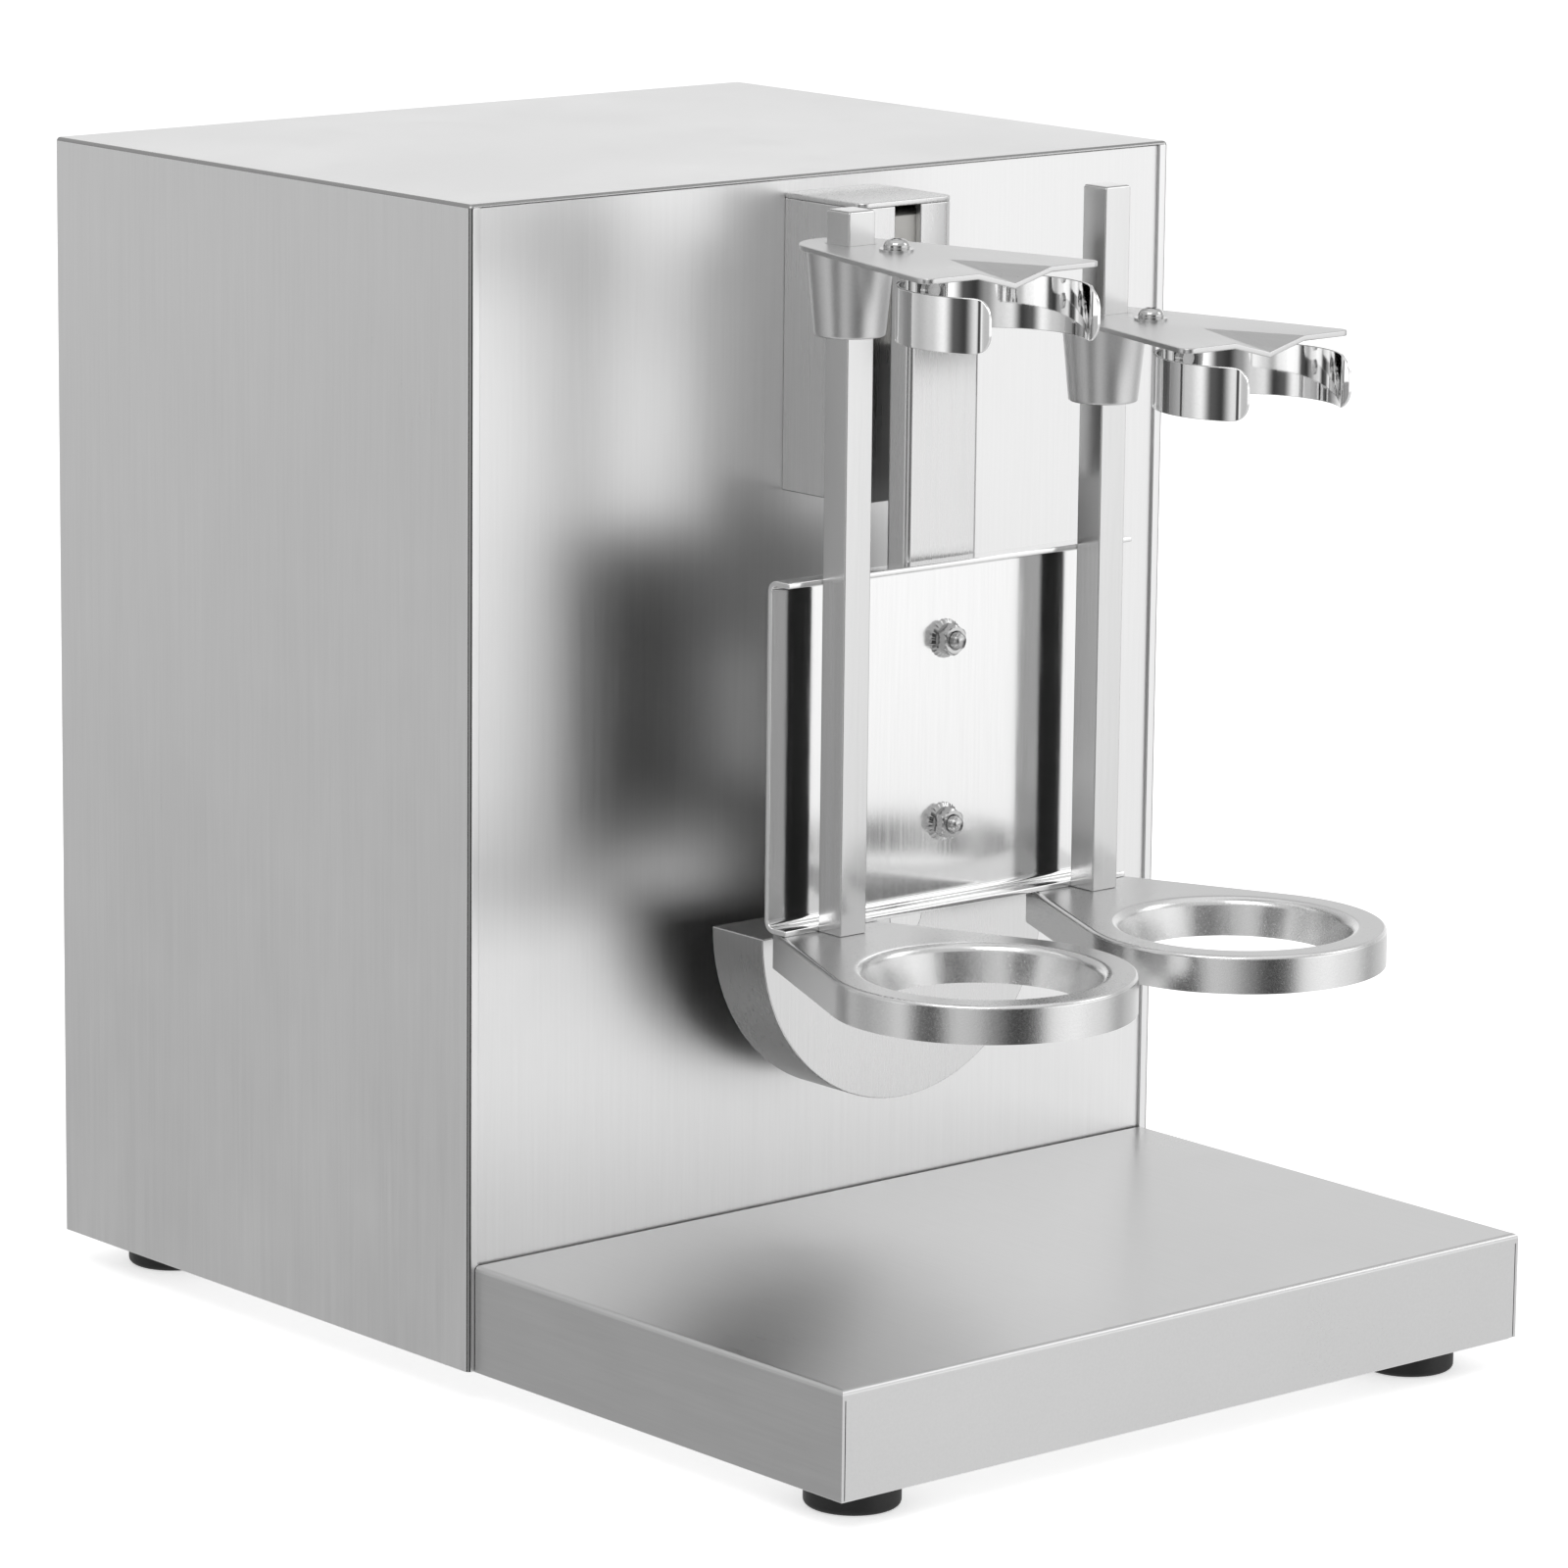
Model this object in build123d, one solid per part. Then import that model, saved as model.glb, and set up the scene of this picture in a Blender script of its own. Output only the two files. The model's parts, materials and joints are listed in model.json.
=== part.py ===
"""Double-frame cup shaker: a stainless cabinet with a spill tray, and a crank-driven frame that
carries two cup rings and two sliding lid clamps.

Millimetres. +X is to the right and -Y to the front of the standing machine, +Z is up.
The origin is the middle of the machine's floor print, with the feet standing on Z = 0.
"""
from build123d import *
import math
import os

# ---------------------------------------------------------------- driving dimensions
CABINET_W = 332.0          # width over the cover
CABINET_D = 250.0          # depth from the cover's front lips to its rear lips
CABINET_H = 420.0          # height from the underside of the base pan to the top
TRAY_D = 200.0             # how far the spill tray stands out in front of the cabinet
TRAY_H = 40.0              # tray top above the underside of the base pan
TRAY_INSET = 3.0           # tray side set in from the cabinet side
FOOT_H = 11.0
FOOT_R = 17.0
FOOT_INSET = 27.0          # foot centre in from each edge of the base pan
KNOB_PROUD = 15.0          # the knob's face behind the rear panel

COVER_T = 1.2              # cover, tray and rear panel sheet
PANEL_T = 1.5              # front panel sheet
PAN_T = 2.0                # base pan floor
PAN_WALL_T = 1.5
PAN_WALL_H = 24.0
FRONT_LIP = 4.5
REAR_LIP = 14.0
SHEET_GAP = 0.3            # clearance between neighbouring sheets
EDGE_R = 1.8               # outside bend radius of the cover and the tray
SEAM = 0.4                 # open seam at the tray's front corners

# moving frame, measured forward from the front panel's face
CUP_SPACING = 121.2        # centre to centre of the two rods, rings and clamps
ROD_SIDE = 12.0
ROD_LEN = 257.0
ROD_CHAMFER = 0.6
RING_FORWARD = 74.5        # ring axis in front of the rod axis
RING_GAP = 13.2            # free space between the two rings
RING_R = (CUP_SPACING - RING_GAP) / 2
RING_H = 13.5
RING_BORE_TOP_R = RING_R - 12.0
RING_BORE_LOW_R = RING_R - 15.5
RING_TAIL_BACK = 16.5      # ring bracket's tail behind the rod axis
RING_TAIL_HALF = 18.0
RING_EDGE_R = 1.5
RING_COVE_R = 4.0          # rounding of the bore's upper rim
RING_TOP_Z = 173.0         # ring bracket's top face at the top of the stroke
PLATE_W = 164.0
PLATE_H = 126.5
PLATE_T = 2.0
PLATE_FLANGE = 11.5        # flange depth over the web
PLATE_BEND_R = 4.5         # outside bend radius
ARM_W = 34.0
ARM_T = 12.0
ARM_FORWARD = 51.0         # arm's back face in front of the front panel
ARM_FOOT_Z = 183.0
ARM_TOP_Z = 404.0
ARM_EDGE_R = 2.5
BOLT_SPACING = 67.0        # between the two bolts that hold the plate on the arm
BOLT_R = 3.0

# guide on the front panel
GUIDE_W = 44.0
GUIDE_DEPTH = 42.0
GUIDE_LEN = 108.0
GUIDE_TOP_Z = 425.0
GUIDE_WALL = 3.0
GUIDE_SLOT = 12.0
GUIDE_CAP_T = 2.0
GUIDE_EDGE_R = 4.0
SLIDER_LEN = 50.0
SLIDER_GAP = 0.3           # slider to guide wall
SLIDER_DROP = 4.0          # slider under the guide's cap at the top of the stroke
NECK_W = 10.0
NECK_END = 4.0             # neck short of the slider's ends

# crank
STROKE = 44.0
CRANK_AXIS_Z = 165.0
CRANK_BACK = 18.0          # counterweight's back face in front of the front panel
CRANK_T = 28.0
COUNTERWEIGHT_R = 68.0
CRANK_HUB_R = 16.0
SHAFT_R = 7.5
CRANK_PIN_R = 5.0
LINK_LEN = 56.0
LINK_T = 3.5
LINK_EYE_R = 10.0
LINK_GAP = 0.5             # free space each side of the link
PIN_CLEARANCE = 0.05       # running clearance of a pin in its eye, on the radius

# drive inside the cabinet, measured back from the front panel's face
DRIVE_PLATE_BACK = 12.0
DRIVE_PLATE_T = 6.0
DRIVE_PLATE_W = 180.0
DRIVE_PLATE_H = 210.0
HOUSING_R = 24.0
HOUSING_LEN = 52.0
HOUSING_FLANGE = 12.0
HOUSING_FLANGE_T = 6.0
HOUSING_SHAFT_GAP = 3.0
DRIVE_FOOT = 34.0
BEARING_R = 16.0
BEARING_T = 9.0
PULLEY_BACK = 80.0
PULLEY_W = 18.0
DRIVEN_PULLEY_R = 60.0
MOTOR_PULLEY_R = 20.0
PULLEY_FLANGE = 4.0
PULLEY_FLANGE_T = 1.5
BELT_T = 3.0
BELT_GAP = 0.3
MOTOR_R = 43.0
MOTOR_LEN = 108.0
MOTOR_AXIS_Z = 64.0
MOTOR_SHAFT_R = 6.0
MOTOR_FACE_BACK = PULLEY_BACK + PULLEY_W + 8
MOTOR_EDGE_R = 4.0
MOTOR_GROOVE_W = 4.0
MOTOR_GROOVE = 1.5
MOTOR_GROOVES = (14.0, 90.0)    # grooves behind the motor's face
MOTOR_BORE = 40.0
MOTOR_SHAFT_IN = 36.0
BRACKET_T = 4.0
BRACKET_HALF = 52.0
BRACKET_OVER = 46.0        # bracket's top over the motor axis
BRACKET_FOOT = 46.0
BRACKET_HOLE_GAP = 6.0
SHAFT_END = 6.0            # crank shaft's end behind the driven pulley

# lid clamps
CLAMP_TOP_Z = {"left": 418.0, "right": 384.0}
CLAMP_T = 2.0
CLAMP_BACK_R = 18.0
CLAMP_FRONT_HALF = 40.0
CLAMP_FORWARD = 85.0       # clamp plate's front edge in front of the rod axis
CLAMP_CORNER_R = 4.0
DIMPLE_HALF = 17.0
DIMPLE_DEPTH = 4.5
DIMPLE_LEN = 34.0
BUSH_TOP_R = 15.5
BUSH_LOW_R = 12.5
BUSH_H = 30.0
LINER_T = 1.4
LINER_GAP = 0.12           # liner to rod, each side
STRAP_W = 18.0
STRAP_T = 1.5
STRAP_DROP = 24.0
STRAP_SCREW_FORWARD = 24.0
CLIP_R = 33.0              # middle of the clip's band
CLIP_T = 1.2
CLIP_H = 19.0
CLIP_DROP = 4.5            # clip's top edge below the clamp plate
CLIP_MOUTH_DEG = 52.0      # half the opening angle
CLIP_FLARE_R = 5.0
CLIP_FLARE_DEG = 35.0
CLIP_LIP = 2.5             # straight end of the clip's flared tip
CLIP_TIP_R = 7.0           # rounding of the tips, seen from the side
CLIP_SCREW_PITCH = 9.0
CLIP_SCREW_LIFT = 0.15     # screw head clear of the band's curved face
CLAMP_HOLE_GAP = 0.5       # clamp plate's square hole to the rod
BUSH_EDGE_R = 1.0
STRAP_BEND_R = 4.0
STRAP_CORNER_R = 5.0
STRAP_TAIL = 7.0           # strap behind its screw
DIMPLE_WINDOW = 10.0       # how far behind its length the dent may show

# controls on the rear panel, X and Z of their middles
CONTROL_X = 108.0
INLET_Z = 62.0
SWITCH_Z = 118.0
BUTTON_Z = 168.0
KNOB_Z = 224.0
INLET_W = 27.0
INLET_H = 20.0
INLET_DEPTH = 26.0
INLET_RIM = 5.0
INLET_RIM_T = 3.0
SOCKET_W = 21.0
SOCKET_H = 14.0
SOCKET_DEPTH = 18.0
SOCKET_CORNER = 3.5
BLADE_W = 2.0
BLADE_H = 4.0
BLADE_BACK = 3.0           # blade tips behind the inlet's face
BLADES = ((-5.5, -2.0), (0.0, 2.0), (5.5, -2.0))
SWITCH_W = 13.0
SWITCH_H = 19.0
SWITCH_DEPTH = 20.0
SWITCH_RIM = 2.0
SWITCH_WALL = 1.0
ROCKER_SIDE_GAP = 0.4
ROCKER_END_GAP = 1.2
ROCKER_DEPTH = 4.0
ROCKER_PROUD = 3.6
ROCKER_DISH_R = 22.0
ROCKER_DISH = 1.2          # depth of the dish in the rocker's face
BUTTON_BODY_R = 8.0
BUTTON_DEPTH = 22.0
BUTTON_BEZEL = 3.0
BUTTON_R = 5.8
BUTTON_GAP = 0.3
BUTTON_PROUD = 5.6
BUTTON_LEN = 11.6
BUTTON_WELL = 14.0
SPRING_R = 3.6
SPRING_WIRE = 0.8
POT_R = 12.0
POT_LEN = 13.5
POT_BUSH_R = 4.5
POT_NUT_R = 9.0
POT_NUT_T = 0.8
POT_SHAFT_R = 3.0
POT_BORE_LEN = 13.0
KNOB_R = 14.0
KNOB_GRIP_STEP = 3.0       # grip radius under the skirt radius
KNOB_LIFT = 2.4            # knob skirt behind the rear panel
KNOB_SKIRT = 3.6
KNOB_FLUTES = 18
KNOB_FLUTE_R = 0.9

# electrics inside
BOARD_T = 1.6
BOARD_LEN = 90.0
BOARD_H = 120.0
BOARD_LOW_Z = 120.0
BOARD_BACK = 60.0          # board's edge in front of the rear panel
BOARD_STANDOFF = 14.5      # board in from the side wall
BOARD_POST_R = 3.0
BOARD_POST_INSET = 6.0
BOARD_PARTS = ((30.0, 22.0, 30.0), (70.0, 14.0, 24.0), (95.0, 18.0, 16.0))   # up the board, height, length
BOARD_PART_H = 20.0
TERMINAL_W = 60.0
TERMINAL_D = 22.0
TERMINAL_H = 18.0
TERMINAL_X = 60.0
TERMINAL_BACK = 44.0
TERMINAL_POLES = 5
TERMINAL_HOLE_R = 2.2
TERMINAL_HOLE = 10.0

# vents in the rear panel
VENT_COLUMNS = 3
VENT_ROWS = 9
VENT_LEN = 34.0
VENT_H = 4.0
VENT_PITCH_X = 42.0
VENT_PITCH_Z = 10.0
VENT_MID_X = -30.0
VENT_TOP_DROP = 51.0       # top row below the cabinet's top

# screws, nuts and seals
SCREW_GAP = 0.2            # hole to screw, on the radius
CROSS_LEN = 0.55           # cross recess in a screw's head, as shares of the head's radius
CROSS_W = 0.11
PAN_SHOWS = 1.0            # the pan shows as a thin line under the cover
FOOT_EDGE_R = 2.0
FOOT_RECESS = 5.0
FOOT_SCREW_R = 2.5
FOOT_HEAD_R = 5.0
FOOT_HEAD_H = 2.5
FOOT_NUT_FLATS = 8.0
FOOT_NUT_H = 4.0
REAR_SCREW_R = 2.0
REAR_HEAD_R = 4.0
REAR_HEAD_H = 2.4
REAR_HEAD_EDGE = 1.6
REAR_SCREW_LEN = 9.0
REAR_SCREW_LOW_Z = 50.0
REAR_SCREW_TOP_DROP = 30.0
SEAL_R = 20.0
SEAL_LIP = 3.0
SEAL_LIP_T = 2.5
SEAL_GAP = 0.5
BOLT_HEAD_FLATS = 10.0
BOLT_HEAD_H = 4.0
BOLT_PROUD = 9.0           # bolt end in front of the plate's web
BOLT_END = 0.7
NUT_FLANGE_R = 7.1
NUT_FLANGE_T = 1.2
NUT_FLATS = 10.0
NUT_H = 6.0
WRIST_DEPTH = 6.0
ROD_SCREW_R = 2.5
ROD_SCREW_LEN = 13.0
ROD_SCREW_HEAD_R = 4.8
ROD_SCREW_HEAD_H = 4.2
ROD_SCREW_SINK = 5.0
ROD_SCREW_KEY = 4.0
STRAP_SCREW_R = 2.5
STRAP_WASHER_R = 6.0
STRAP_WASHER_T = 0.8
STRAP_HEAD_R = 4.6
STRAP_HEAD_H = 3.4
STRAP_HEAD_EDGE = 2.6
CLIP_SCREW_R = 1.45
CLIP_BUTTON_R = 2.8
CLIP_BUTTON_H = 1.6
CLIP_NUT_FLATS = 5.5
CLIP_NUT_H = 2.4
CLIP_SCREW_END = 4.0

os.makedirs("parts", exist_ok=True)

# ---------------------------------------------------------------- places worked out from them
ARM_FRONT = ARM_FORWARD + ARM_T
PLATE_FRONT = ARM_FRONT + PLATE_FLANGE
ROD_FORWARD = PLATE_FRONT + ROD_SIDE / 2
RING_AXIS = ROD_FORWARD + RING_FORWARD
FRONT_REACH = max(TRAY_D, RING_AXIS + RING_R - COVER_T)    # the tray or the rings, in front of the lips
DEPTH = FRONT_REACH + CABINET_D + KNOB_PROUD
LIP_Y = -DEPTH / 2 + FRONT_REACH           # front face of the cover's lips
FRONT_Y = LIP_Y - TRAY_D                   # front face of the tray
PANEL_Y = LIP_Y + COVER_T                  # front face of the front panel
BACK_Y = LIP_Y + CABINET_D                 # outer face of the rear panel
HALF_W = CABINET_W / 2
PAN_Z = FOOT_H
TOP_Z = PAN_Z + CABINET_H
TRAY_TOP_Z = PAN_Z + TRAY_H
COVER_LOW_Z = PAN_Z + PAN_SHOWS
INNER_HALF = HALF_W - COVER_T - SHEET_GAP
PAN_HALF = HALF_W - TRAY_INSET - COVER_T - SHEET_GAP
FLOOR_Z = PAN_Z + PAN_T
PLATE_MID_Z = RING_TOP_Z + PLATE_H / 2
BOLT_Z = [PLATE_MID_Z - BOLT_SPACING / 2, PLATE_MID_Z + BOLT_SPACING / 2]
CRANK_R = STROKE / 2
CRANK_FRONT = CRANK_BACK + CRANK_T
LINK_BACK = CRANK_FRONT + LINK_GAP
WRIST_Z = CRANK_AXIS_Z + CRANK_R + LINK_LEN
SLIDER_TOP_Z = GUIDE_TOP_Z - GUIDE_CAP_T - SLIDER_DROP
SIDES = {"left": -CUP_SPACING / 2, "right": CUP_SPACING / 2}


def fore(forward):
    """Y of a place so far in front of the front panel's face."""
    return PANEL_Y - forward


def block(x0, x1, y0, y1, z0, z1):
    middle = Pos((x0 + x1) / 2, (y0 + y1) / 2, (z0 + z1) / 2)
    return middle * Box(abs(x1 - x0), abs(y1 - y0), abs(z1 - z0))


def post(radius, x, y, z0, z1):
    return Pos(x, y, (z0 + z1) / 2) * Cylinder(radius, abs(z1 - z0))


def axle(radius, x, z, y0, y1):
    return Pos(x, (y0 + y1) / 2, z) * Rot(90, 0, 0) * Cylinder(radius, abs(y1 - y0))


def hex_along_y(across_flats, x, z, y0, y1):
    profile = Pos(x, max(y0, y1), z) * Rot(90, 0, 0) * RegularPolygon(across_flats / 2, 6, major_radius=False)
    return extrude(profile, abs(y1 - y0))


def hex_along_z(across_flats, x, y, z0, z1):
    profile = Pos(x, y, min(z0, z1)) * RegularPolygon(across_flats / 2, 6, major_radius=False)
    return extrude(profile, abs(z1 - z0))


def save(name, shape):
    export_step(shape, "parts/" + name + ".step")


def group(shapes):
    return Compound(children=list(shapes))


# ---------------------------------------------------------------- cabinet and tray
def foot_places():
    x = PAN_HALF - FOOT_INSET
    y_front = FRONT_Y + FOOT_INSET
    y_back = BACK_Y - FOOT_INSET
    return [(-x, y_front), (x, y_front), (-x, y_back), (x, y_back)]


def make_base_pan():
    y0 = FRONT_Y + COVER_T + SHEET_GAP
    y1 = BACK_Y - 2 * COVER_T - SHEET_GAP
    outer = block(-PAN_HALF, PAN_HALF, y0, y1, PAN_Z, PAN_Z + PAN_WALL_H)
    inner = block(-PAN_HALF + PAN_WALL_T, PAN_HALF - PAN_WALL_T, y0 + PAN_WALL_T, y1 - PAN_WALL_T,
                  FLOOR_Z, PAN_Z + PAN_WALL_H + 1)
    pan = outer - inner
    for x, y in foot_places():
        pan -= post(FOOT_SCREW_R + SCREW_GAP, x, y, PAN_Z - 1, FLOOR_Z + 1)
    return pan


def make_feet():
    feet = []
    for x, y in foot_places():
        foot = post(FOOT_R, x, y, 0, FOOT_H)
        foot = fillet(foot.edges().group_by(Axis.Z)[0], FOOT_EDGE_R)
        foot -= post(FOOT_HEAD_R + SCREW_GAP, x, y, -1, FOOT_RECESS)
        foot -= post(FOOT_SCREW_R, x, y, FOOT_RECESS - 1, FOOT_H + 1)
        feet.append(foot)
    return group(feet)


def make_foot_screws():
    screws = []
    for x, y in foot_places():
        head = post(FOOT_HEAD_R, x, y, FOOT_RECESS - FOOT_HEAD_H, FOOT_RECESS)
        shank = post(FOOT_SCREW_R, x, y, FOOT_RECESS, FLOOR_Z + FOOT_NUT_H + 2)
        nut = hex_along_z(FOOT_NUT_FLATS, x, y, FLOOR_Z, FLOOR_Z + FOOT_NUT_H)
        screws.append(head + shank + nut)
    return group(screws)


def make_cover():
    outer = block(-HALF_W, HALF_W, LIP_Y, BACK_Y - COVER_T, COVER_LOW_Z, TOP_Z)
    front_edges = outer.edges().group_by(Axis.Y)[0]
    bends = outer.edges().filter_by(Axis.Y).group_by(Axis.Z)[-1] + front_edges.filter_by(Axis.Z)
    outer = fillet(bends + front_edges.filter_by(Axis.X).group_by(Axis.Z)[-1], EDGE_R)
    core = block(-HALF_W + COVER_T, HALF_W - COVER_T, LIP_Y + COVER_T, BACK_Y - 2 * COVER_T,
                 COVER_LOW_Z - 1, TOP_Z - COVER_T)
    front_mouth = block(-HALF_W + FRONT_LIP, HALF_W - FRONT_LIP, LIP_Y - 1, LIP_Y + COVER_T + 1,
                        COVER_LOW_Z - 1, TOP_Z - COVER_T)
    rear_mouth = block(-HALF_W + REAR_LIP, HALF_W - REAR_LIP, BACK_Y - 3 * COVER_T, BACK_Y,
                       COVER_LOW_Z - 1, TOP_Z - REAR_LIP)
    pan_pass = block(-PAN_HALF - SHEET_GAP, PAN_HALF + SHEET_GAP, LIP_Y - 1, LIP_Y + COVER_T + 1,
                     COVER_LOW_Z - 1, PAN_Z + PAN_WALL_H + SHEET_GAP)
    cover = outer - core - front_mouth - rear_mouth - pan_pass
    for x, z in rear_screw_places():
        cover -= axle(REAR_SCREW_R + SCREW_GAP, x, z, BACK_Y - 3 * COVER_T, BACK_Y)
    return cover


def rear_screw_places():
    x = HALF_W - REAR_LIP / 2 - 1
    low = REAR_SCREW_LOW_Z
    high = TOP_Z - REAR_SCREW_TOP_DROP
    return [(side * x, z) for side in (-1, 1) for z in (low, (low + high) / 2, high)]


def make_front_panel():
    panel = block(-INNER_HALF, INNER_HALF, PANEL_Y, PANEL_Y + PANEL_T, FLOOR_Z + PAN_WALL_H,
                  TOP_Z - COVER_T - SHEET_GAP)
    lower = block(-PAN_HALF + PAN_WALL_T + SHEET_GAP, PAN_HALF - PAN_WALL_T - SHEET_GAP, PANEL_Y,
                  PANEL_Y + PANEL_T, FLOOR_Z, FLOOR_Z + PAN_WALL_H)
    panel += lower
    panel -= axle(SEAL_R, 0, CRANK_AXIS_Z, PANEL_Y - 1, PANEL_Y + PANEL_T + 1)
    return panel


def make_shaft_seal():
    flange = axle(SEAL_R + SEAL_LIP, 0, CRANK_AXIS_Z, fore(SEAL_LIP_T), fore(0))
    body = axle(SEAL_R, 0, CRANK_AXIS_Z, fore(0), fore(-PANEL_T - SEAL_LIP_T))
    bore = axle(SHAFT_R + SEAL_GAP, 0, CRANK_AXIS_Z, fore(SEAL_LIP_T + 1), fore(-PANEL_T - SEAL_LIP_T - 1))
    return flange + body - bore


def make_rear_panel():
    panel = block(-HALF_W + COVER_T, HALF_W - COVER_T, BACK_Y - COVER_T, BACK_Y, COVER_LOW_Z + 1,
                  TOP_Z - COVER_T)
    for column in range(VENT_COLUMNS):
        for row in range(VENT_ROWS):
            x = VENT_MID_X + (column - (VENT_COLUMNS - 1) / 2) * VENT_PITCH_X
            z = TOP_Z - VENT_TOP_DROP - row * VENT_PITCH_Z
            slot = extrude(SlotOverall(VENT_LEN, VENT_H), 3 * COVER_T, both=True)
            panel -= Pos(x, BACK_Y, z) * Rot(90, 0, 0) * slot
    for x, z in rear_screw_places():
        panel -= axle(REAR_SCREW_R + SCREW_GAP, x, z, BACK_Y - 3 * COVER_T, BACK_Y + 1)
    panel -= block(CONTROL_X - INLET_W / 2, CONTROL_X + INLET_W / 2, BACK_Y - 3, BACK_Y + 3,
                   INLET_Z - INLET_H / 2, INLET_Z + INLET_H / 2)
    panel -= block(CONTROL_X - SWITCH_W / 2, CONTROL_X + SWITCH_W / 2, BACK_Y - 3, BACK_Y + 3,
                   SWITCH_Z - SWITCH_H / 2, SWITCH_Z + SWITCH_H / 2)
    panel -= axle(BUTTON_BODY_R, CONTROL_X, BUTTON_Z, BACK_Y - 3, BACK_Y + 3)
    panel -= axle(POT_BUSH_R, CONTROL_X, KNOB_Z, BACK_Y - 3, BACK_Y + 3)
    return panel


def make_rear_screws():
    screws = []
    for x, z in rear_screw_places():
        face = BACK_Y + REAR_HEAD_H
        head = axle(REAR_HEAD_R, x, z, BACK_Y, face)
        head = fillet(head.edges().group_by(Axis.Y)[-1], REAR_HEAD_EDGE)
        long = REAR_HEAD_R * CROSS_LEN
        wide = REAR_HEAD_R * CROSS_W
        head -= block(x - long, x + long, BACK_Y + REAR_HEAD_H / 2, face + 1, z - wide, z + wide)
        head -= block(x - wide, x + wide, BACK_Y + REAR_HEAD_H / 2, face + 1, z - long, z + long)
        screws.append(head + axle(REAR_SCREW_R, x, z, BACK_Y - REAR_SCREW_LEN, BACK_Y))
    return group(screws)


def make_tray():
    half = HALF_W - TRAY_INSET
    y1 = LIP_Y - SHEET_GAP
    outer = block(-half, half, FRONT_Y, y1, COVER_LOW_Z, TRAY_TOP_Z)
    top_edges = outer.edges().group_by(Axis.Z)[-1]
    front_top = top_edges.filter_by(Axis.X).sort_by(Axis.Y)[:1]
    outer = fillet(top_edges.filter_by(Axis.Y) + front_top, EDGE_R)
    inner = block(-half + COVER_T, half - COVER_T, FRONT_Y + COVER_T, y1 + 1, COVER_LOW_Z - 1,
                  TRAY_TOP_Z - COVER_T)
    tray = outer - inner
    for side in (-1, 1):
        seam_x = side * (half - COVER_T - SEAM / 2)
        tray -= block(seam_x - SEAM / 2, seam_x + SEAM / 2, FRONT_Y - 1, FRONT_Y + COVER_T + SEAM,
                      COVER_LOW_Z - 1, TRAY_TOP_Z - 2 * EDGE_R)
    return tray


# ---------------------------------------------------------------- guide and slider
def make_guide():
    z0 = GUIDE_TOP_Z - GUIDE_LEN
    z1 = GUIDE_TOP_Z - GUIDE_CAP_T
    half = GUIDE_W / 2
    outer = block(-half, half, fore(GUIDE_DEPTH), fore(0), z0, z1)
    outer = fillet(outer.edges().filter_by(Axis.Z).group_by(Axis.Y)[0], GUIDE_EDGE_R)
    inner = block(-half + GUIDE_WALL, half - GUIDE_WALL, fore(GUIDE_DEPTH - GUIDE_WALL), fore(GUIDE_WALL),
                  z0 - 1, z1 + 1)
    slot = block(-GUIDE_SLOT / 2, GUIDE_SLOT / 2, fore(GUIDE_DEPTH + 1), fore(GUIDE_DEPTH - GUIDE_WALL - 1),
                 z0 - 1, z1 + 1)
    return outer - inner - slot


def make_guide_cap():
    half = GUIDE_W / 2
    cap = block(-half, half, fore(GUIDE_DEPTH), fore(0), GUIDE_TOP_Z - GUIDE_CAP_T, GUIDE_TOP_Z)
    return fillet(cap.edges().filter_by(Axis.Z).group_by(Axis.Y)[0], GUIDE_EDGE_R)


def make_slider():
    half = GUIDE_W / 2 - GUIDE_WALL - SLIDER_GAP
    return block(-half, half, fore(GUIDE_DEPTH - GUIDE_WALL - SLIDER_GAP), fore(GUIDE_WALL + SLIDER_GAP),
                 SLIDER_TOP_Z - SLIDER_LEN, SLIDER_TOP_Z)


def make_slider_neck():
    z1 = min(SLIDER_TOP_Z, ARM_TOP_Z) - NECK_END
    z0 = SLIDER_TOP_Z - SLIDER_LEN + NECK_END
    return block(-NECK_W / 2, NECK_W / 2, fore(ARM_FORWARD),
                 fore(GUIDE_DEPTH - GUIDE_WALL - SLIDER_GAP), z0, z1)


# ---------------------------------------------------------------- moving frame
def make_arm():
    half = ARM_W / 2
    arm = block(-half, half, fore(ARM_FRONT), fore(ARM_FORWARD), ARM_FOOT_Z, ARM_TOP_Z)
    arm = fillet(arm.edges().filter_by(Axis.Z), ARM_EDGE_R)
    for z in BOLT_Z:
        arm -= axle(BOLT_R, 0, z, fore(ARM_FRONT + 1), fore(ARM_FORWARD - 1))
        pocket_flats = BOLT_HEAD_FLATS + 2 * SCREW_GAP
        arm -= hex_along_y(pocket_flats, 0, z, fore(ARM_FORWARD + BOLT_HEAD_H), fore(ARM_FORWARD - 1))
    return arm - axle(CRANK_PIN_R, 0, WRIST_Z, fore(ARM_FORWARD + WRIST_DEPTH), fore(ARM_FORWARD - 1))


def make_plate():
    z0 = RING_TOP_Z
    z1 = RING_TOP_Z + PLATE_H
    half = PLATE_W / 2
    outer = block(-half, half, fore(PLATE_FRONT), fore(ARM_FRONT), z0, z1)
    outer = fillet(outer.edges().filter_by(Axis.X).group_by(Axis.Y)[-1], PLATE_BEND_R)
    inner = block(-half - 1, half + 1, fore(PLATE_FRONT + 1), fore(ARM_FRONT + PLATE_T), z0 + PLATE_T,
                  z1 - PLATE_T)
    inner = fillet(inner.edges().filter_by(Axis.X).group_by(Axis.Y)[-1], PLATE_BEND_R - PLATE_T)
    plate = outer - inner
    for z in BOLT_Z:
        plate -= axle(BOLT_R + SCREW_GAP, 0, z, fore(ARM_FRONT + PLATE_T + 1), fore(ARM_FRONT - 1))
    return plate


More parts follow.
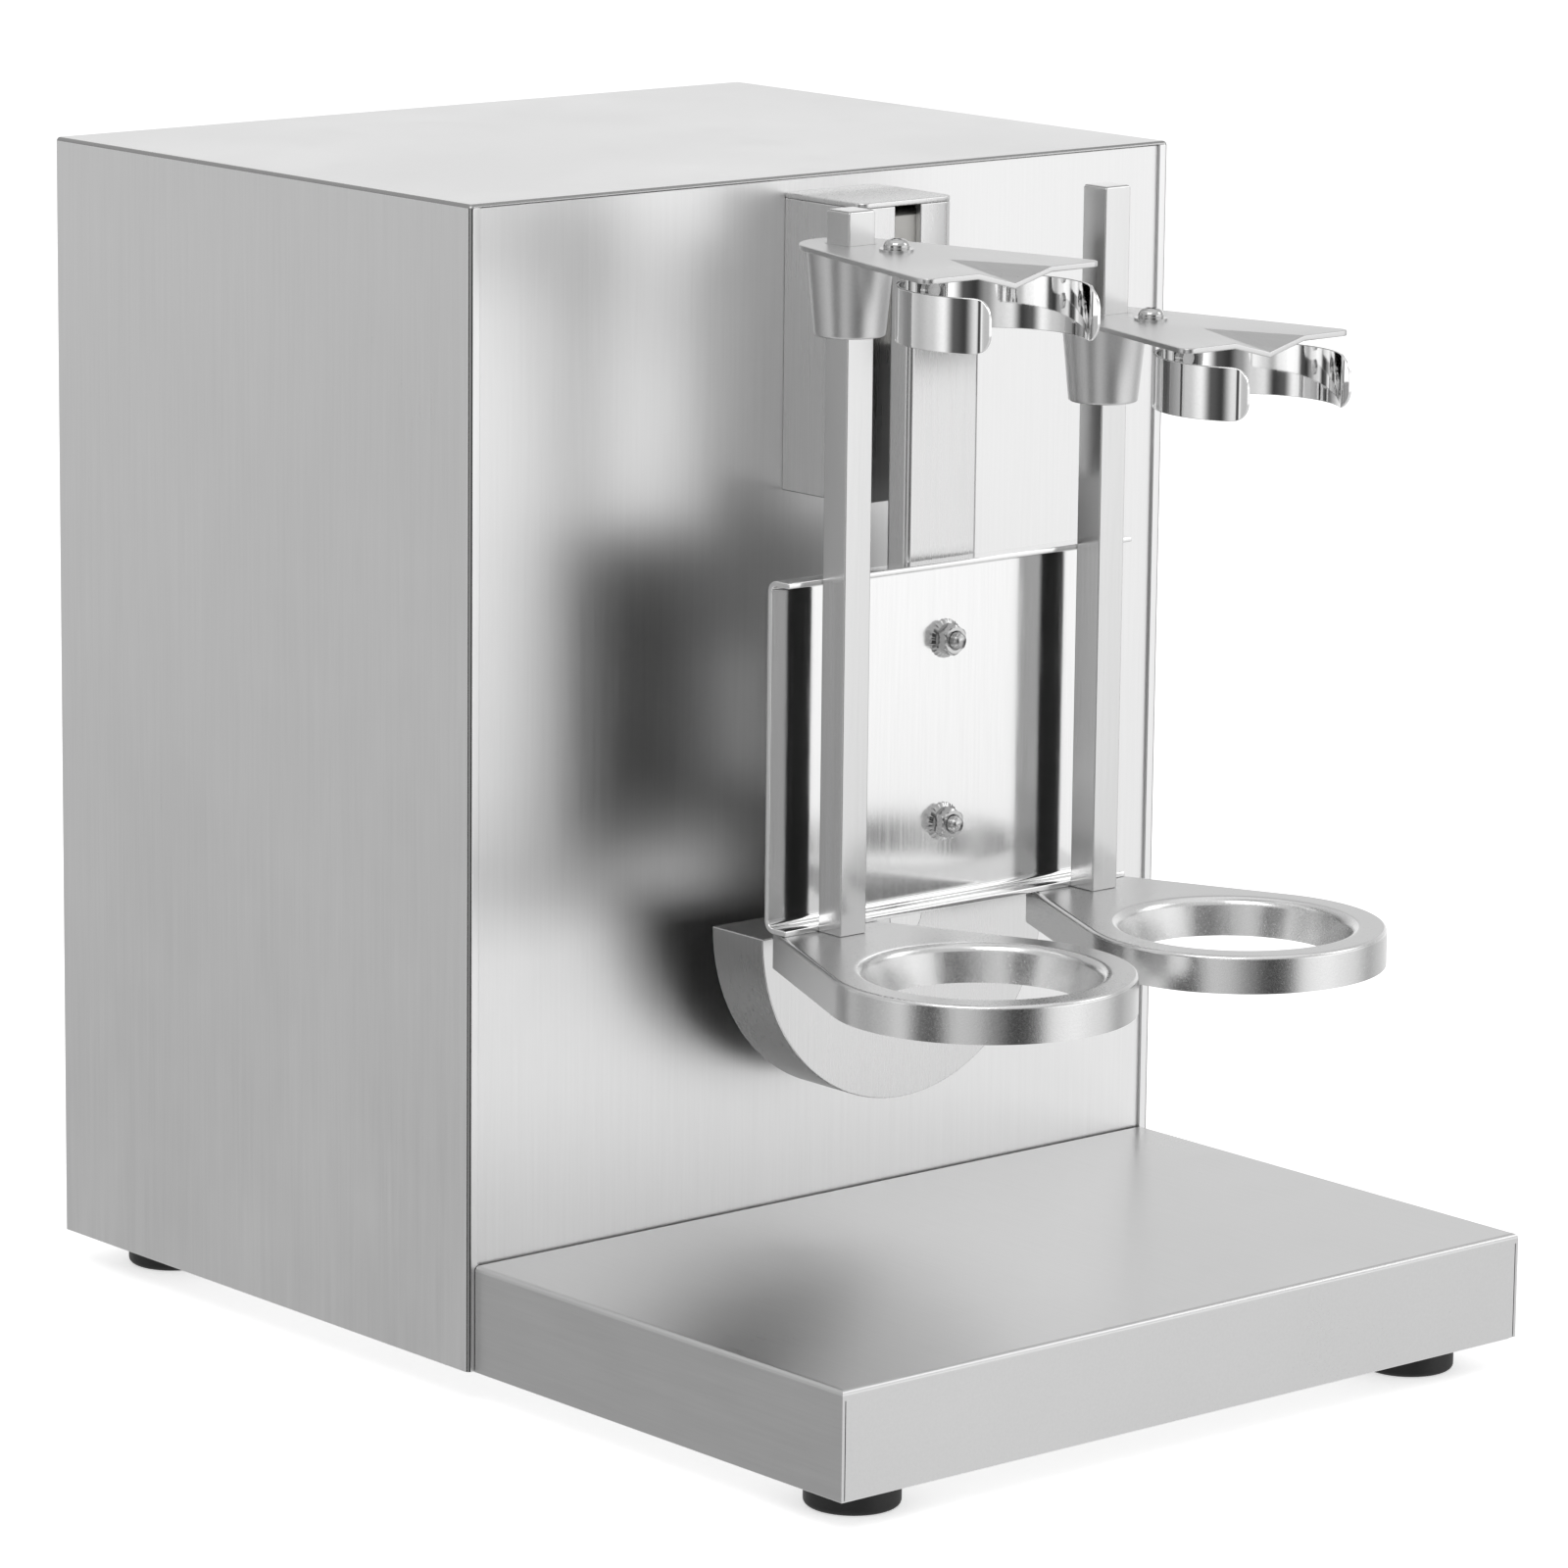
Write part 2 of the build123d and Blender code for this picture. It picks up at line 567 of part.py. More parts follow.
def make_plate_bolts():
    bolts = []
    for z in BOLT_Z:
        head = hex_along_y(BOLT_HEAD_FLATS, 0, z, fore(ARM_FORWARD + BOLT_HEAD_H), fore(ARM_FORWARD))
        shank = axle(BOLT_R, 0, z, fore(ARM_FRONT + PLATE_T + BOLT_PROUD), fore(ARM_FORWARD + BOLT_HEAD_H))
        bolts.append(head + chamfer(shank.edges().group_by(Axis.Y)[0], BOLT_END))
    return group(bolts)


def make_plate_nuts():
    nuts = []
    seat = ARM_FRONT + PLATE_T
    for z in BOLT_Z:
        flange = axle(NUT_FLANGE_R, 0, z, fore(seat + NUT_FLANGE_T), fore(seat))
        body = hex_along_y(NUT_FLATS, 0, z, fore(seat + NUT_H), fore(seat + NUT_FLANGE_T))
        nuts.append(flange + body - axle(BOLT_R, 0, z, fore(seat + NUT_H + 1), fore(seat - 1)))
    return group(nuts)


def make_rod(x):
    half = ROD_SIDE / 2
    y = fore(ROD_FORWARD)
    rod = block(x - half, x + half, y - half, y + half, RING_TOP_Z, RING_TOP_Z + ROD_LEN)
    rod = chamfer(rod.edges().group_by(Axis.Z)[-1], ROD_CHAMFER)
    return rod - post(ROD_SCREW_R, x, y, RING_TOP_Z - 1, RING_TOP_Z + ROD_SCREW_LEN + 1)


def make_ring(x):
    y_ring = fore(RING_AXIS)
    y_rod = fore(ROD_FORWARD)
    y_tail = y_rod + RING_TAIL_BACK
    circle = Pos(x, y_ring) * Circle(RING_R)
    tail = Pos(x, y_tail - 1) * Rectangle(2 * RING_TAIL_HALF, 2)
    outline = make_hull(circle.edges() + tail.edges())
    body = Pos(0, 0, RING_TOP_Z - RING_H) * extrude(outline, RING_H)
    body = fillet(body.edges().group_by(Axis.Z)[-1], RING_EDGE_R)
    bore = Pos(x, y_ring, RING_TOP_Z - RING_H / 2) * Cone(RING_BORE_LOW_R, RING_BORE_TOP_R, RING_H)
    body -= bore
    rim = body.edges().filter_by(GeomType.CIRCLE).group_by(Axis.Z)[-1]
    body = fillet(rim.filter_by(lambda e: abs(e.radius - RING_BORE_TOP_R) < PIN_CLEARANCE), RING_COVE_R)
    low = RING_TOP_Z - RING_H
    body -= post(ROD_SCREW_R + SCREW_GAP, x, y_rod, low - 1, RING_TOP_Z + 1)
    return body - post(ROD_SCREW_HEAD_R + SCREW_GAP, x, y_rod, low - 1, low + ROD_SCREW_SINK)


def make_rod_screws():
    screws = []
    for x in SIDES.values():
        y = fore(ROD_FORWARD)
        low = RING_TOP_Z - RING_H
        seat = low + ROD_SCREW_SINK
        head = post(ROD_SCREW_HEAD_R, x, y, seat - ROD_SCREW_HEAD_H, seat)
        head -= hex_along_z(ROD_SCREW_KEY, x, y, low, seat - ROD_SCREW_HEAD_H / 2)
        screws.append(head + post(ROD_SCREW_R, x, y, seat, RING_TOP_Z + ROD_SCREW_LEN))
    return group(screws)


# ---------------------------------------------------------------- crank
def make_counterweight():
    disc = axle(COUNTERWEIGHT_R, 0, CRANK_AXIS_Z, fore(CRANK_FRONT), fore(CRANK_BACK))
    upper = block(-COUNTERWEIGHT_R - 1, COUNTERWEIGHT_R + 1, fore(CRANK_FRONT + 1), fore(CRANK_BACK - 1),
                  CRANK_AXIS_Z, CRANK_AXIS_Z + COUNTERWEIGHT_R + 1)
    body = disc - upper
    web = block(-CRANK_HUB_R, CRANK_HUB_R, fore(CRANK_FRONT), fore(CRANK_BACK), CRANK_AXIS_Z - 1,
                CRANK_AXIS_Z + CRANK_R)
    end = axle(CRANK_HUB_R, 0, CRANK_AXIS_Z + CRANK_R, fore(CRANK_FRONT), fore(CRANK_BACK))
    body = body + web + end
    body -= axle(SHAFT_R, 0, CRANK_AXIS_Z, fore(CRANK_FRONT + 1), fore(CRANK_BACK - 1))
    return body - axle(CRANK_PIN_R, 0, CRANK_AXIS_Z + CRANK_R, fore(CRANK_FRONT + 1), fore(CRANK_BACK - 1))


def make_crank_pin():
    return axle(CRANK_PIN_R, 0, CRANK_AXIS_Z + CRANK_R, fore(CRANK_FRONT + LINK_GAP / 2), fore(CRANK_BACK))


def make_crank_shaft():
    return axle(SHAFT_R, 0, CRANK_AXIS_Z, fore(CRANK_FRONT), fore(-PULLEY_BACK - PULLEY_W - SHAFT_END))


def make_link():
    y_front = fore(LINK_BACK + LINK_T)
    low = Pos(0, CRANK_AXIS_Z + CRANK_R) * Circle(LINK_EYE_R)
    high = Pos(0, WRIST_Z) * Circle(LINK_EYE_R)
    outline = make_hull(low.edges() + high.edges())
    link = Pos(0, y_front + LINK_T, 0) * Rot(90, 0, 0) * extrude(outline, LINK_T)
    for z in (CRANK_AXIS_Z + CRANK_R, WRIST_Z):
        link -= axle(CRANK_PIN_R + PIN_CLEARANCE, 0, z, y_front - 1, y_front + LINK_T + 1)
    return link


def make_wrist_pin():
    return axle(CRANK_PIN_R, 0, WRIST_Z, fore(ARM_FORWARD + WRIST_DEPTH), fore(LINK_BACK - LINK_GAP / 2))


# ---------------------------------------------------------------- drive inside the cabinet
def make_drive_plate():
    back = DRIVE_PLATE_BACK
    half = DRIVE_PLATE_W / 2
    plate = block(-half, half, fore(-back), fore(-back - DRIVE_PLATE_T), FLOOR_Z, FLOOR_Z + DRIVE_PLATE_H)
    foot = block(-half, half, fore(-back), fore(-back - DRIVE_FOOT), FLOOR_Z, FLOOR_Z + DRIVE_PLATE_T)
    plate = plate + foot
    return plate - axle(HOUSING_R - HOUSING_SHAFT_GAP, 0, CRANK_AXIS_Z, fore(-back + 1),
                        fore(-back - DRIVE_PLATE_T - 1))


def make_bearing_housing():
    y0 = fore(-DRIVE_PLATE_BACK - DRIVE_PLATE_T)
    y1 = y0 + HOUSING_LEN
    body = axle(HOUSING_R, 0, CRANK_AXIS_Z, y0, y1)
    body += axle(HOUSING_R + HOUSING_FLANGE, 0, CRANK_AXIS_Z, y0, y0 + HOUSING_FLANGE_T)
    body -= axle(SHAFT_R + HOUSING_SHAFT_GAP, 0, CRANK_AXIS_Z, y0 - 1, y1 + 1)
    for start in (y0 - 1, y1 - BEARING_T):
        body -= axle(BEARING_R, 0, CRANK_AXIS_Z, start, start + BEARING_T + 1)
    return body


def make_bearing(y0):
    ring = axle(BEARING_R, 0, CRANK_AXIS_Z, y0, y0 + BEARING_T)
    return ring - axle(SHAFT_R + PIN_CLEARANCE, 0, CRANK_AXIS_Z, y0 - 1, y0 + BEARING_T + 1)


def make_pulley(radius, bore, z):
    y0 = fore(-PULLEY_BACK)
    y1 = y0 + PULLEY_W
    wheel = axle(radius, 0, z, y0, y1)
    for start in (y0, y1 - PULLEY_FLANGE_T):
        wheel += axle(radius + PULLEY_FLANGE, 0, z, start, start + PULLEY_FLANGE_T)
    return wheel - axle(bore, 0, z, y0 - 1, y1 + 1)


def belt_outline(grow):
    upper = Pos(0, CRANK_AXIS_Z) * Circle(DRIVEN_PULLEY_R + grow)
    lower = Pos(0, MOTOR_AXIS_Z) * Circle(MOTOR_PULLEY_R + grow)
    return make_hull(upper.edges() + lower.edges())


def make_belt():
    width = PULLEY_W - 2 * PULLEY_FLANGE_T - 2 * BELT_GAP
    y1 = fore(-PULLEY_BACK) + PULLEY_W - PULLEY_FLANGE_T - BELT_GAP
    outer = extrude(belt_outline(BELT_GAP + BELT_T), width)
    inner = extrude(belt_outline(BELT_GAP), width)
    return Pos(0, y1, 0) * Rot(90, 0, 0) * (outer - inner)


def make_motor():
    y0 = fore(-MOTOR_FACE_BACK)
    body = axle(MOTOR_R, 0, MOTOR_AXIS_Z, y0, y0 + MOTOR_LEN)
    body = fillet(body.edges().filter_by(GeomType.CIRCLE), MOTOR_EDGE_R)
    for behind in MOTOR_GROOVES:
        y = y0 + behind
        groove = axle(MOTOR_R + 1, 0, MOTOR_AXIS_Z, y, y + MOTOR_GROOVE_W)
        body -= groove - axle(MOTOR_R - MOTOR_GROOVE, 0, MOTOR_AXIS_Z, y, y + MOTOR_GROOVE_W)
    return body - axle(MOTOR_SHAFT_R + PIN_CLEARANCE, 0, MOTOR_AXIS_Z, y0 - 1, y0 + MOTOR_BORE)


def make_motor_bracket():
    y0 = fore(-MOTOR_FACE_BACK) - BRACKET_T
    half = BRACKET_HALF
    face = block(-half, half, y0, y0 + BRACKET_T, FLOOR_Z, MOTOR_AXIS_Z + BRACKET_OVER)
    foot = block(-half, half, y0, y0 + BRACKET_FOOT, FLOOR_Z, FLOOR_Z + BRACKET_T)
    hole = axle(MOTOR_SHAFT_R + BRACKET_HOLE_GAP, 0, MOTOR_AXIS_Z, y0 - 1, y0 + BRACKET_T + 1)
    return face + foot - hole


def make_motor_shaft():
    return axle(MOTOR_SHAFT_R, 0, MOTOR_AXIS_Z, fore(-PULLEY_BACK + MOTOR_SHAFT_R / 2),
                fore(-MOTOR_FACE_BACK - MOTOR_SHAFT_IN))


# ---------------------------------------------------------------- lid clamps
def make_clamp_plate(x, top):
    y_rod = fore(ROD_FORWARD)
    y_front = y_rod - CLAMP_FORWARD
    corner_x = CLAMP_FRONT_HALF - CLAMP_CORNER_R
    back = Pos(x, y_rod) * Circle(CLAMP_BACK_R)
    left = Pos(x - corner_x, y_front + CLAMP_CORNER_R) * Circle(CLAMP_CORNER_R)
    right = Pos(x + corner_x, y_front + CLAMP_CORNER_R) * Circle(CLAMP_CORNER_R)
    outline = make_hull(back.edges() + left.edges() + right.edges())
    sheet = Pos(0, 0, top - CLAMP_T) * extrude(outline, CLAMP_T)
    below = block(x - CLAMP_FRONT_HALF, x + CLAMP_FRONT_HALF, y_front, y_front + DIMPLE_LEN + DIMPLE_WINDOW,
                  top - 4 * DIMPLE_DEPTH, top - CLAMP_T / 2)
    sheet += dimple_prism(x, y_front, top - CLAMP_T) & below
    sheet -= dimple_prism(x, y_front, top)
    half = ROD_SIDE / 2 + CLAMP_HOLE_GAP
    sheet -= block(x - half, x + half, y_rod - half, y_rod + half, top - 2 * CLAMP_T, top + 1)
    return sheet - post(STRAP_SCREW_R + SCREW_GAP, x, y_rod - STRAP_SCREW_FORWARD, top - 2 * CLAMP_T, top + 1)


def dimple_prism(x, y_front, surface):
    """A V-section bar that dips under a surface at the front edge and rises out of it behind."""
    slope = math.atan2(DIMPLE_DEPTH, DIMPLE_LEN)
    rise = DIMPLE_DEPTH * 3
    half = DIMPLE_HALF * (DIMPLE_DEPTH + rise) / DIMPLE_DEPTH
    section = Plane.XZ * make_face(Polyline((0, 0), (half, DIMPLE_DEPTH + rise), (-half, DIMPLE_DEPTH + rise),
                                            close=True))
    bar = extrude(section, -DIMPLE_LEN * 2) + extrude(section, 10)
    return Pos(x, y_front, surface - DIMPLE_DEPTH) * Rot(math.degrees(slope), 0, 0) * bar


def make_clamp_bush(x, top):
    y = fore(ROD_FORWARD)
    z1 = top - CLAMP_T
    cone = Pos(x, y, z1 - BUSH_H / 2) * Cone(BUSH_LOW_R, BUSH_TOP_R, BUSH_H)
    cone = fillet(cone.edges().group_by(Axis.Z)[0], BUSH_EDGE_R)
    half = liner_half()
    return cone - block(x - half, x + half, y - half, y + half, z1 - BUSH_H - 1, z1 + 1)


def liner_half():
    return ROD_SIDE / 2 + LINER_GAP + LINER_T


def make_clamp_liner(x, top):
    y = fore(ROD_FORWARD)
    z1 = top - CLAMP_T
    half = liner_half()
    bore = ROD_SIDE / 2 + LINER_GAP
    sleeve = block(x - half, x + half, y - half, y + half, z1 - BUSH_H, z1)
    return sleeve - block(x - bore, x + bore, y - bore, y + bore, z1 - BUSH_H - 1, z1 + 1)


def strap_face_y():
    """Y of the strap leg's front face, which the clip's back bears on."""
    return fore(RING_AXIS) + CLIP_R + CLIP_T / 2


def clip_screw_heights(top):
    middle = top - CLAMP_T - CLIP_DROP - CLIP_H / 2
    return [middle - CLIP_SCREW_PITCH / 2, middle + CLIP_SCREW_PITCH / 2]


def make_clip_strap(x, top):
    y_rod = fore(ROD_FORWARD)
    z1 = top - CLAMP_T
    y0 = strap_face_y()
    half = STRAP_W / 2
    y_back = y_rod - STRAP_SCREW_FORWARD + STRAP_TAIL
    outer = block(x - half, x + half, y0, y_back, z1 - STRAP_DROP, z1)
    outer = fillet(outer.edges().filter_by(Axis.X).group_by(Axis.Z)[-1].sort_by(Axis.Y)[0], STRAP_BEND_R)
    inner = block(x - half - 1, x + half + 1, y0 + STRAP_T, y_back + 1, z1 - STRAP_DROP - 1, z1 - STRAP_T)
    bend = inner.edges().filter_by(Axis.X).group_by(Axis.Z)[-1].sort_by(Axis.Y)[0]
    inner = fillet(bend, STRAP_BEND_R - STRAP_T)
    strap = outer - inner
    strap = fillet(strap.edges().filter_by(Axis.Y).group_by(Axis.Z)[0], STRAP_CORNER_R)
    strap -= post(STRAP_SCREW_R + SCREW_GAP, x, y_rod - STRAP_SCREW_FORWARD, z1 - STRAP_DROP, z1 + 1)
    for z in clip_screw_heights(top):
        strap -= axle(CLIP_SCREW_R + PIN_CLEARANCE, x, z, y0 - 1, y0 + STRAP_T + 1)
    return strap


def clip_path():
    """Half of the clip's band seen from above: round from the back, then curled out at the mouth."""
    bow = JernArc((0, CLIP_R), (1, 0), CLIP_R, -(180 - CLIP_MOUTH_DEG))
    curl = JernArc(bow @ 1, bow % 1, CLIP_FLARE_R, CLIP_FLARE_DEG)
    lip = Line(curl @ 1, curl @ 1 + (curl % 1) * CLIP_LIP)
    return [bow, curl, lip]


def make_spring_clip(x, top):
    half = trace(clip_path(), CLIP_T)
    band = half + mirror(half, Plane.YZ)
    z0 = top - CLAMP_T - CLIP_DROP - CLIP_H
    reach = CLIP_R + CLIP_T
    tip_y = band.bounding_box().min.Y
    envelope = block(-reach, reach, tip_y, reach, 0, CLIP_H)
    envelope = fillet(envelope.edges().filter_by(Axis.X).group_by(Axis.Y)[0], CLIP_TIP_R)
    clip = Pos(x, fore(RING_AXIS), z0) * (extrude(band, CLIP_H) & envelope)
    for z in clip_screw_heights(top):
        clip -= axle(CLIP_SCREW_R + PIN_CLEARANCE, x, z, strap_face_y() - 3 * CLIP_T, strap_face_y() + 1)
    return clip


def make_clamp_fasteners(x, top):
    y_screw = fore(ROD_FORWARD) - STRAP_SCREW_FORWARD
    seat = top + STRAP_WASHER_T
    face = seat + STRAP_HEAD_H
    washer = post(STRAP_WASHER_R, x, y_screw, top, seat)
    head = post(STRAP_HEAD_R, x, y_screw, seat, face)
    head = fillet(head.edges().group_by(Axis.Z)[-1], STRAP_HEAD_EDGE)
    long = STRAP_HEAD_R * CROSS_LEN
    wide = STRAP_HEAD_R * CROSS_W
    head -= block(x - long, x + long, y_screw - wide, y_screw + wide, seat + STRAP_HEAD_H / 2, face + 1)
    head -= block(x - wide, x + wide, y_screw - long, y_screw + long, seat + STRAP_HEAD_H / 2, face + 1)
    low = top - CLAMP_T - STRAP_T
    nut = hex_along_z(FOOT_NUT_FLATS, x, y_screw, low - FOOT_NUT_H, low)
    pieces = [washer + head + post(STRAP_SCREW_R, x, y_screw, low - FOOT_NUT_H - 1, seat) + nut]
    y0 = strap_face_y()
    for z in clip_screw_heights(top):
        seat = y0 - CLIP_T - CLIP_SCREW_LIFT
        button = axle(CLIP_BUTTON_R, x, z, seat - CLIP_BUTTON_H, seat)
        shank = axle(CLIP_SCREW_R, x, z, seat, y0 + STRAP_T + CLIP_SCREW_END)
        clip_nut = hex_along_y(CLIP_NUT_FLATS, x, z, y0 + STRAP_T, y0 + STRAP_T + CLIP_NUT_H)
        pieces.append(button + shank + clip_nut)
    return group(pieces)


# ---------------------------------------------------------------- controls and electrics
def make_power_inlet():
    half_w = INLET_W / 2
    half_h = INLET_H / 2
    body = block(CONTROL_X - half_w, CONTROL_X + half_w, BACK_Y - INLET_DEPTH, BACK_Y, INLET_Z - half_h,
                 INLET_Z + half_h)
    flange = block(CONTROL_X - half_w - INLET_RIM, CONTROL_X + half_w + INLET_RIM, BACK_Y, BACK_Y + INLET_RIM_T,
                   INLET_Z - half_h - INLET_RIM_T, INLET_Z + half_h + INLET_RIM_T)
    flange = fillet(flange.edges().filter_by(Axis.Y), INLET_RIM_T)
    inlet = body + flange
    well = block(CONTROL_X - SOCKET_W / 2, CONTROL_X + SOCKET_W / 2, BACK_Y - SOCKET_DEPTH,
                 BACK_Y + INLET_RIM_T + 1, INLET_Z - SOCKET_H / 2, INLET_Z + SOCKET_H / 2)
    inlet -= chamfer(well.edges().filter_by(Axis.Y).group_by(Axis.Z)[-1], SOCKET_CORNER)
    for dx, dz in BLADES:
        x = CONTROL_X + dx
        z = INLET_Z + dz
        inlet += block(x - BLADE_W / 2, x + BLADE_W / 2, BACK_Y - SOCKET_DEPTH, BACK_Y - BLADE_BACK,
                       z - BLADE_H / 2, z + BLADE_H / 2)
    return inlet


def make_switch_housing():
    half_w = SWITCH_W / 2
    half_h = SWITCH_H / 2
    body = block(CONTROL_X - half_w, CONTROL_X + half_w, BACK_Y - SWITCH_DEPTH, BACK_Y, SWITCH_Z - half_h,
                 SWITCH_Z + half_h)
    rim = block(CONTROL_X - half_w - SWITCH_RIM, CONTROL_X + half_w + SWITCH_RIM, BACK_Y, BACK_Y + SWITCH_RIM,
                SWITCH_Z - half_h - SWITCH_RIM, SWITCH_Z + half_h + SWITCH_RIM)
    rim = fillet(rim.edges().filter_by(Axis.Y), SWITCH_RIM - SWITCH_WALL / 2)
    well = block(CONTROL_X - half_w + SWITCH_WALL, CONTROL_X + half_w - SWITCH_WALL, BACK_Y - SWITCH_DEPTH / 2,
                 BACK_Y + SWITCH_RIM + 1, SWITCH_Z - half_h + SWITCH_WALL, SWITCH_Z + half_h - SWITCH_WALL)
    return body + rim - well


def make_switch_rocker():
    half_w = SWITCH_W / 2 - SWITCH_WALL - ROCKER_SIDE_GAP
    half_h = SWITCH_H / 2 - SWITCH_WALL - ROCKER_END_GAP
    face = BACK_Y + ROCKER_PROUD
    rocker = block(CONTROL_X - half_w, CONTROL_X + half_w, BACK_Y - ROCKER_DEPTH, face, SWITCH_Z - half_h,
                   SWITCH_Z + half_h)
    dish = Cylinder(ROCKER_DISH_R, SWITCH_W + 2)
    return rocker - Pos(CONTROL_X, face - ROCKER_DISH + ROCKER_DISH_R, SWITCH_Z) * Rot(0, 90, 0) * dish


def make_button_housing():
    body = axle(BUTTON_BODY_R, CONTROL_X, BUTTON_Z, BACK_Y - BUTTON_DEPTH, BACK_Y)
    bezel = axle(BUTTON_BODY_R + BUTTON_BEZEL, CONTROL_X, BUTTON_Z, BACK_Y, BACK_Y + BUTTON_BEZEL)
    bezel = chamfer(bezel.edges().group_by(Axis.Y)[-1], BUTTON_BEZEL / 4)
    well = axle(BUTTON_R + BUTTON_GAP, CONTROL_X, BUTTON_Z, BACK_Y - BUTTON_WELL, BACK_Y + BUTTON_BEZEL + 1)
    return body + bezel - well


def make_start_button():
    face = BACK_Y + BUTTON_PROUD
    cap = axle(BUTTON_R, CONTROL_X, BUTTON_Z, face - BUTTON_LEN, face)
    return fillet(cap.edges().group_by(Axis.Y)[-1], BUTTON_BEZEL / 4)


def make_button_spring():
    y0 = BACK_Y - BUTTON_WELL
    y1 = BACK_Y + BUTTON_PROUD - BUTTON_LEN
    return axle(SPRING_R, CONTROL_X, BUTTON_Z, y0, y1) - axle(SPRING_R - SPRING_WIRE, CONTROL_X, BUTTON_Z,
                                                              y0 - 1, y1 + 1)


def make_pot_body():
    y = BACK_Y - COVER_T - SHEET_GAP
    body = axle(POT_R, CONTROL_X, KNOB_Z, y - POT_LEN, y)
    body += axle(POT_BUSH_R, CONTROL_X, KNOB_Z, y, BACK_Y + 2 * POT_NUT_T)
    washer = axle(POT_NUT_R, CONTROL_X, KNOB_Z, BACK_Y, BACK_Y + POT_NUT_T)
    bore = axle(POT_SHAFT_R + PIN_CLEARANCE, CONTROL_X, KNOB_Z, BACK_Y - POT_BORE_LEN, BACK_Y + KNOB_LIFT)
    return body + washer - bore


def make_speed_knob():
    low = BACK_Y + KNOB_LIFT
    step = low + KNOB_SKIRT
    face = BACK_Y + KNOB_PROUD
    grip_r = KNOB_R - KNOB_GRIP_STEP
    grip = axle(grip_r, CONTROL_X, KNOB_Z, step, face)
    grip = fillet(grip.edges().group_by(Axis.Y)[-1], 2 * POT_NUT_T)
    knob = axle(KNOB_R, CONTROL_X, KNOB_Z, low, step) + grip
    flute_place = grip_r + KNOB_FLUTE_R / 2
    for i in range(KNOB_FLUTES):
        angle = 2 * math.pi * i / KNOB_FLUTES
        knob -= axle(KNOB_FLUTE_R, CONTROL_X + flute_place * math.cos(angle),
                     KNOB_Z + flute_place * math.sin(angle), step, face + 1)
    half = KNOB_FLUTE_R * 2 / 3
    pointer = block(CONTROL_X - half, CONTROL_X + half, face - half, face + 1, KNOB_Z + POT_SHAFT_R,
                    KNOB_Z + grip_r - KNOB_FLUTE_R)
    stem = axle(POT_SHAFT_R, CONTROL_X, KNOB_Z, BACK_Y - POT_BORE_LEN + 1, step)
    return knob - pointer + stem


def make_control_board():
    x0 = -INNER_HALF + BOARD_STANDOFF
    y1 = BACK_Y - BOARD_BACK
    middle = y1 - BOARD_LEN / 2
    board = block(x0, x0 + BOARD_T, y1 - BOARD_LEN, y1, BOARD_LOW_Z, BOARD_LOW_Z + BOARD_H)
    for up, height, length in BOARD_PARTS:
        z = BOARD_LOW_Z + up
        board += block(x0 + BOARD_T, x0 + BOARD_T + height, middle - length / 2, middle + length / 2,
                       z - BOARD_PART_H / 2, z + BOARD_PART_H / 2)
    return board


def make_board_posts():
    y1 = BACK_Y - BOARD_BACK - BOARD_POST_INSET
    y0 = BACK_Y - BOARD_BACK - BOARD_LEN + BOARD_POST_INSET
    z0 = BOARD_LOW_Z + BOARD_POST_INSET
    z1 = BOARD_LOW_Z + BOARD_H - BOARD_POST_INSET
    pin = Rot(0, 90, 0) * Cylinder(BOARD_POST_R, BOARD_STANDOFF)
    return group(Pos(-INNER_HALF + BOARD_STANDOFF / 2, y, z) * pin for y in (y0, y1) for z in (z0, z1))


def make_terminal_block():
    y1 = BACK_Y - TERMINAL_BACK
    top = FLOOR_Z + TERMINAL_H
    body = block(TERMINAL_X, TERMINAL_X + TERMINAL_W, y1 - TERMINAL_D, y1, FLOOR_Z, top)
    pitch = TERMINAL_W / TERMINAL_POLES
    for i in range(TERMINAL_POLES):
        body -= post(TERMINAL_HOLE_R, TERMINAL_X + pitch * (i + 0.5), y1 - TERMINAL_D / 2, top - TERMINAL_HOLE,
                     top + 1)
    return body


# ---------------------------------------------------------------- write every piece
housing_y = fore(-DRIVE_PLATE_BACK - DRIVE_PLATE_T)

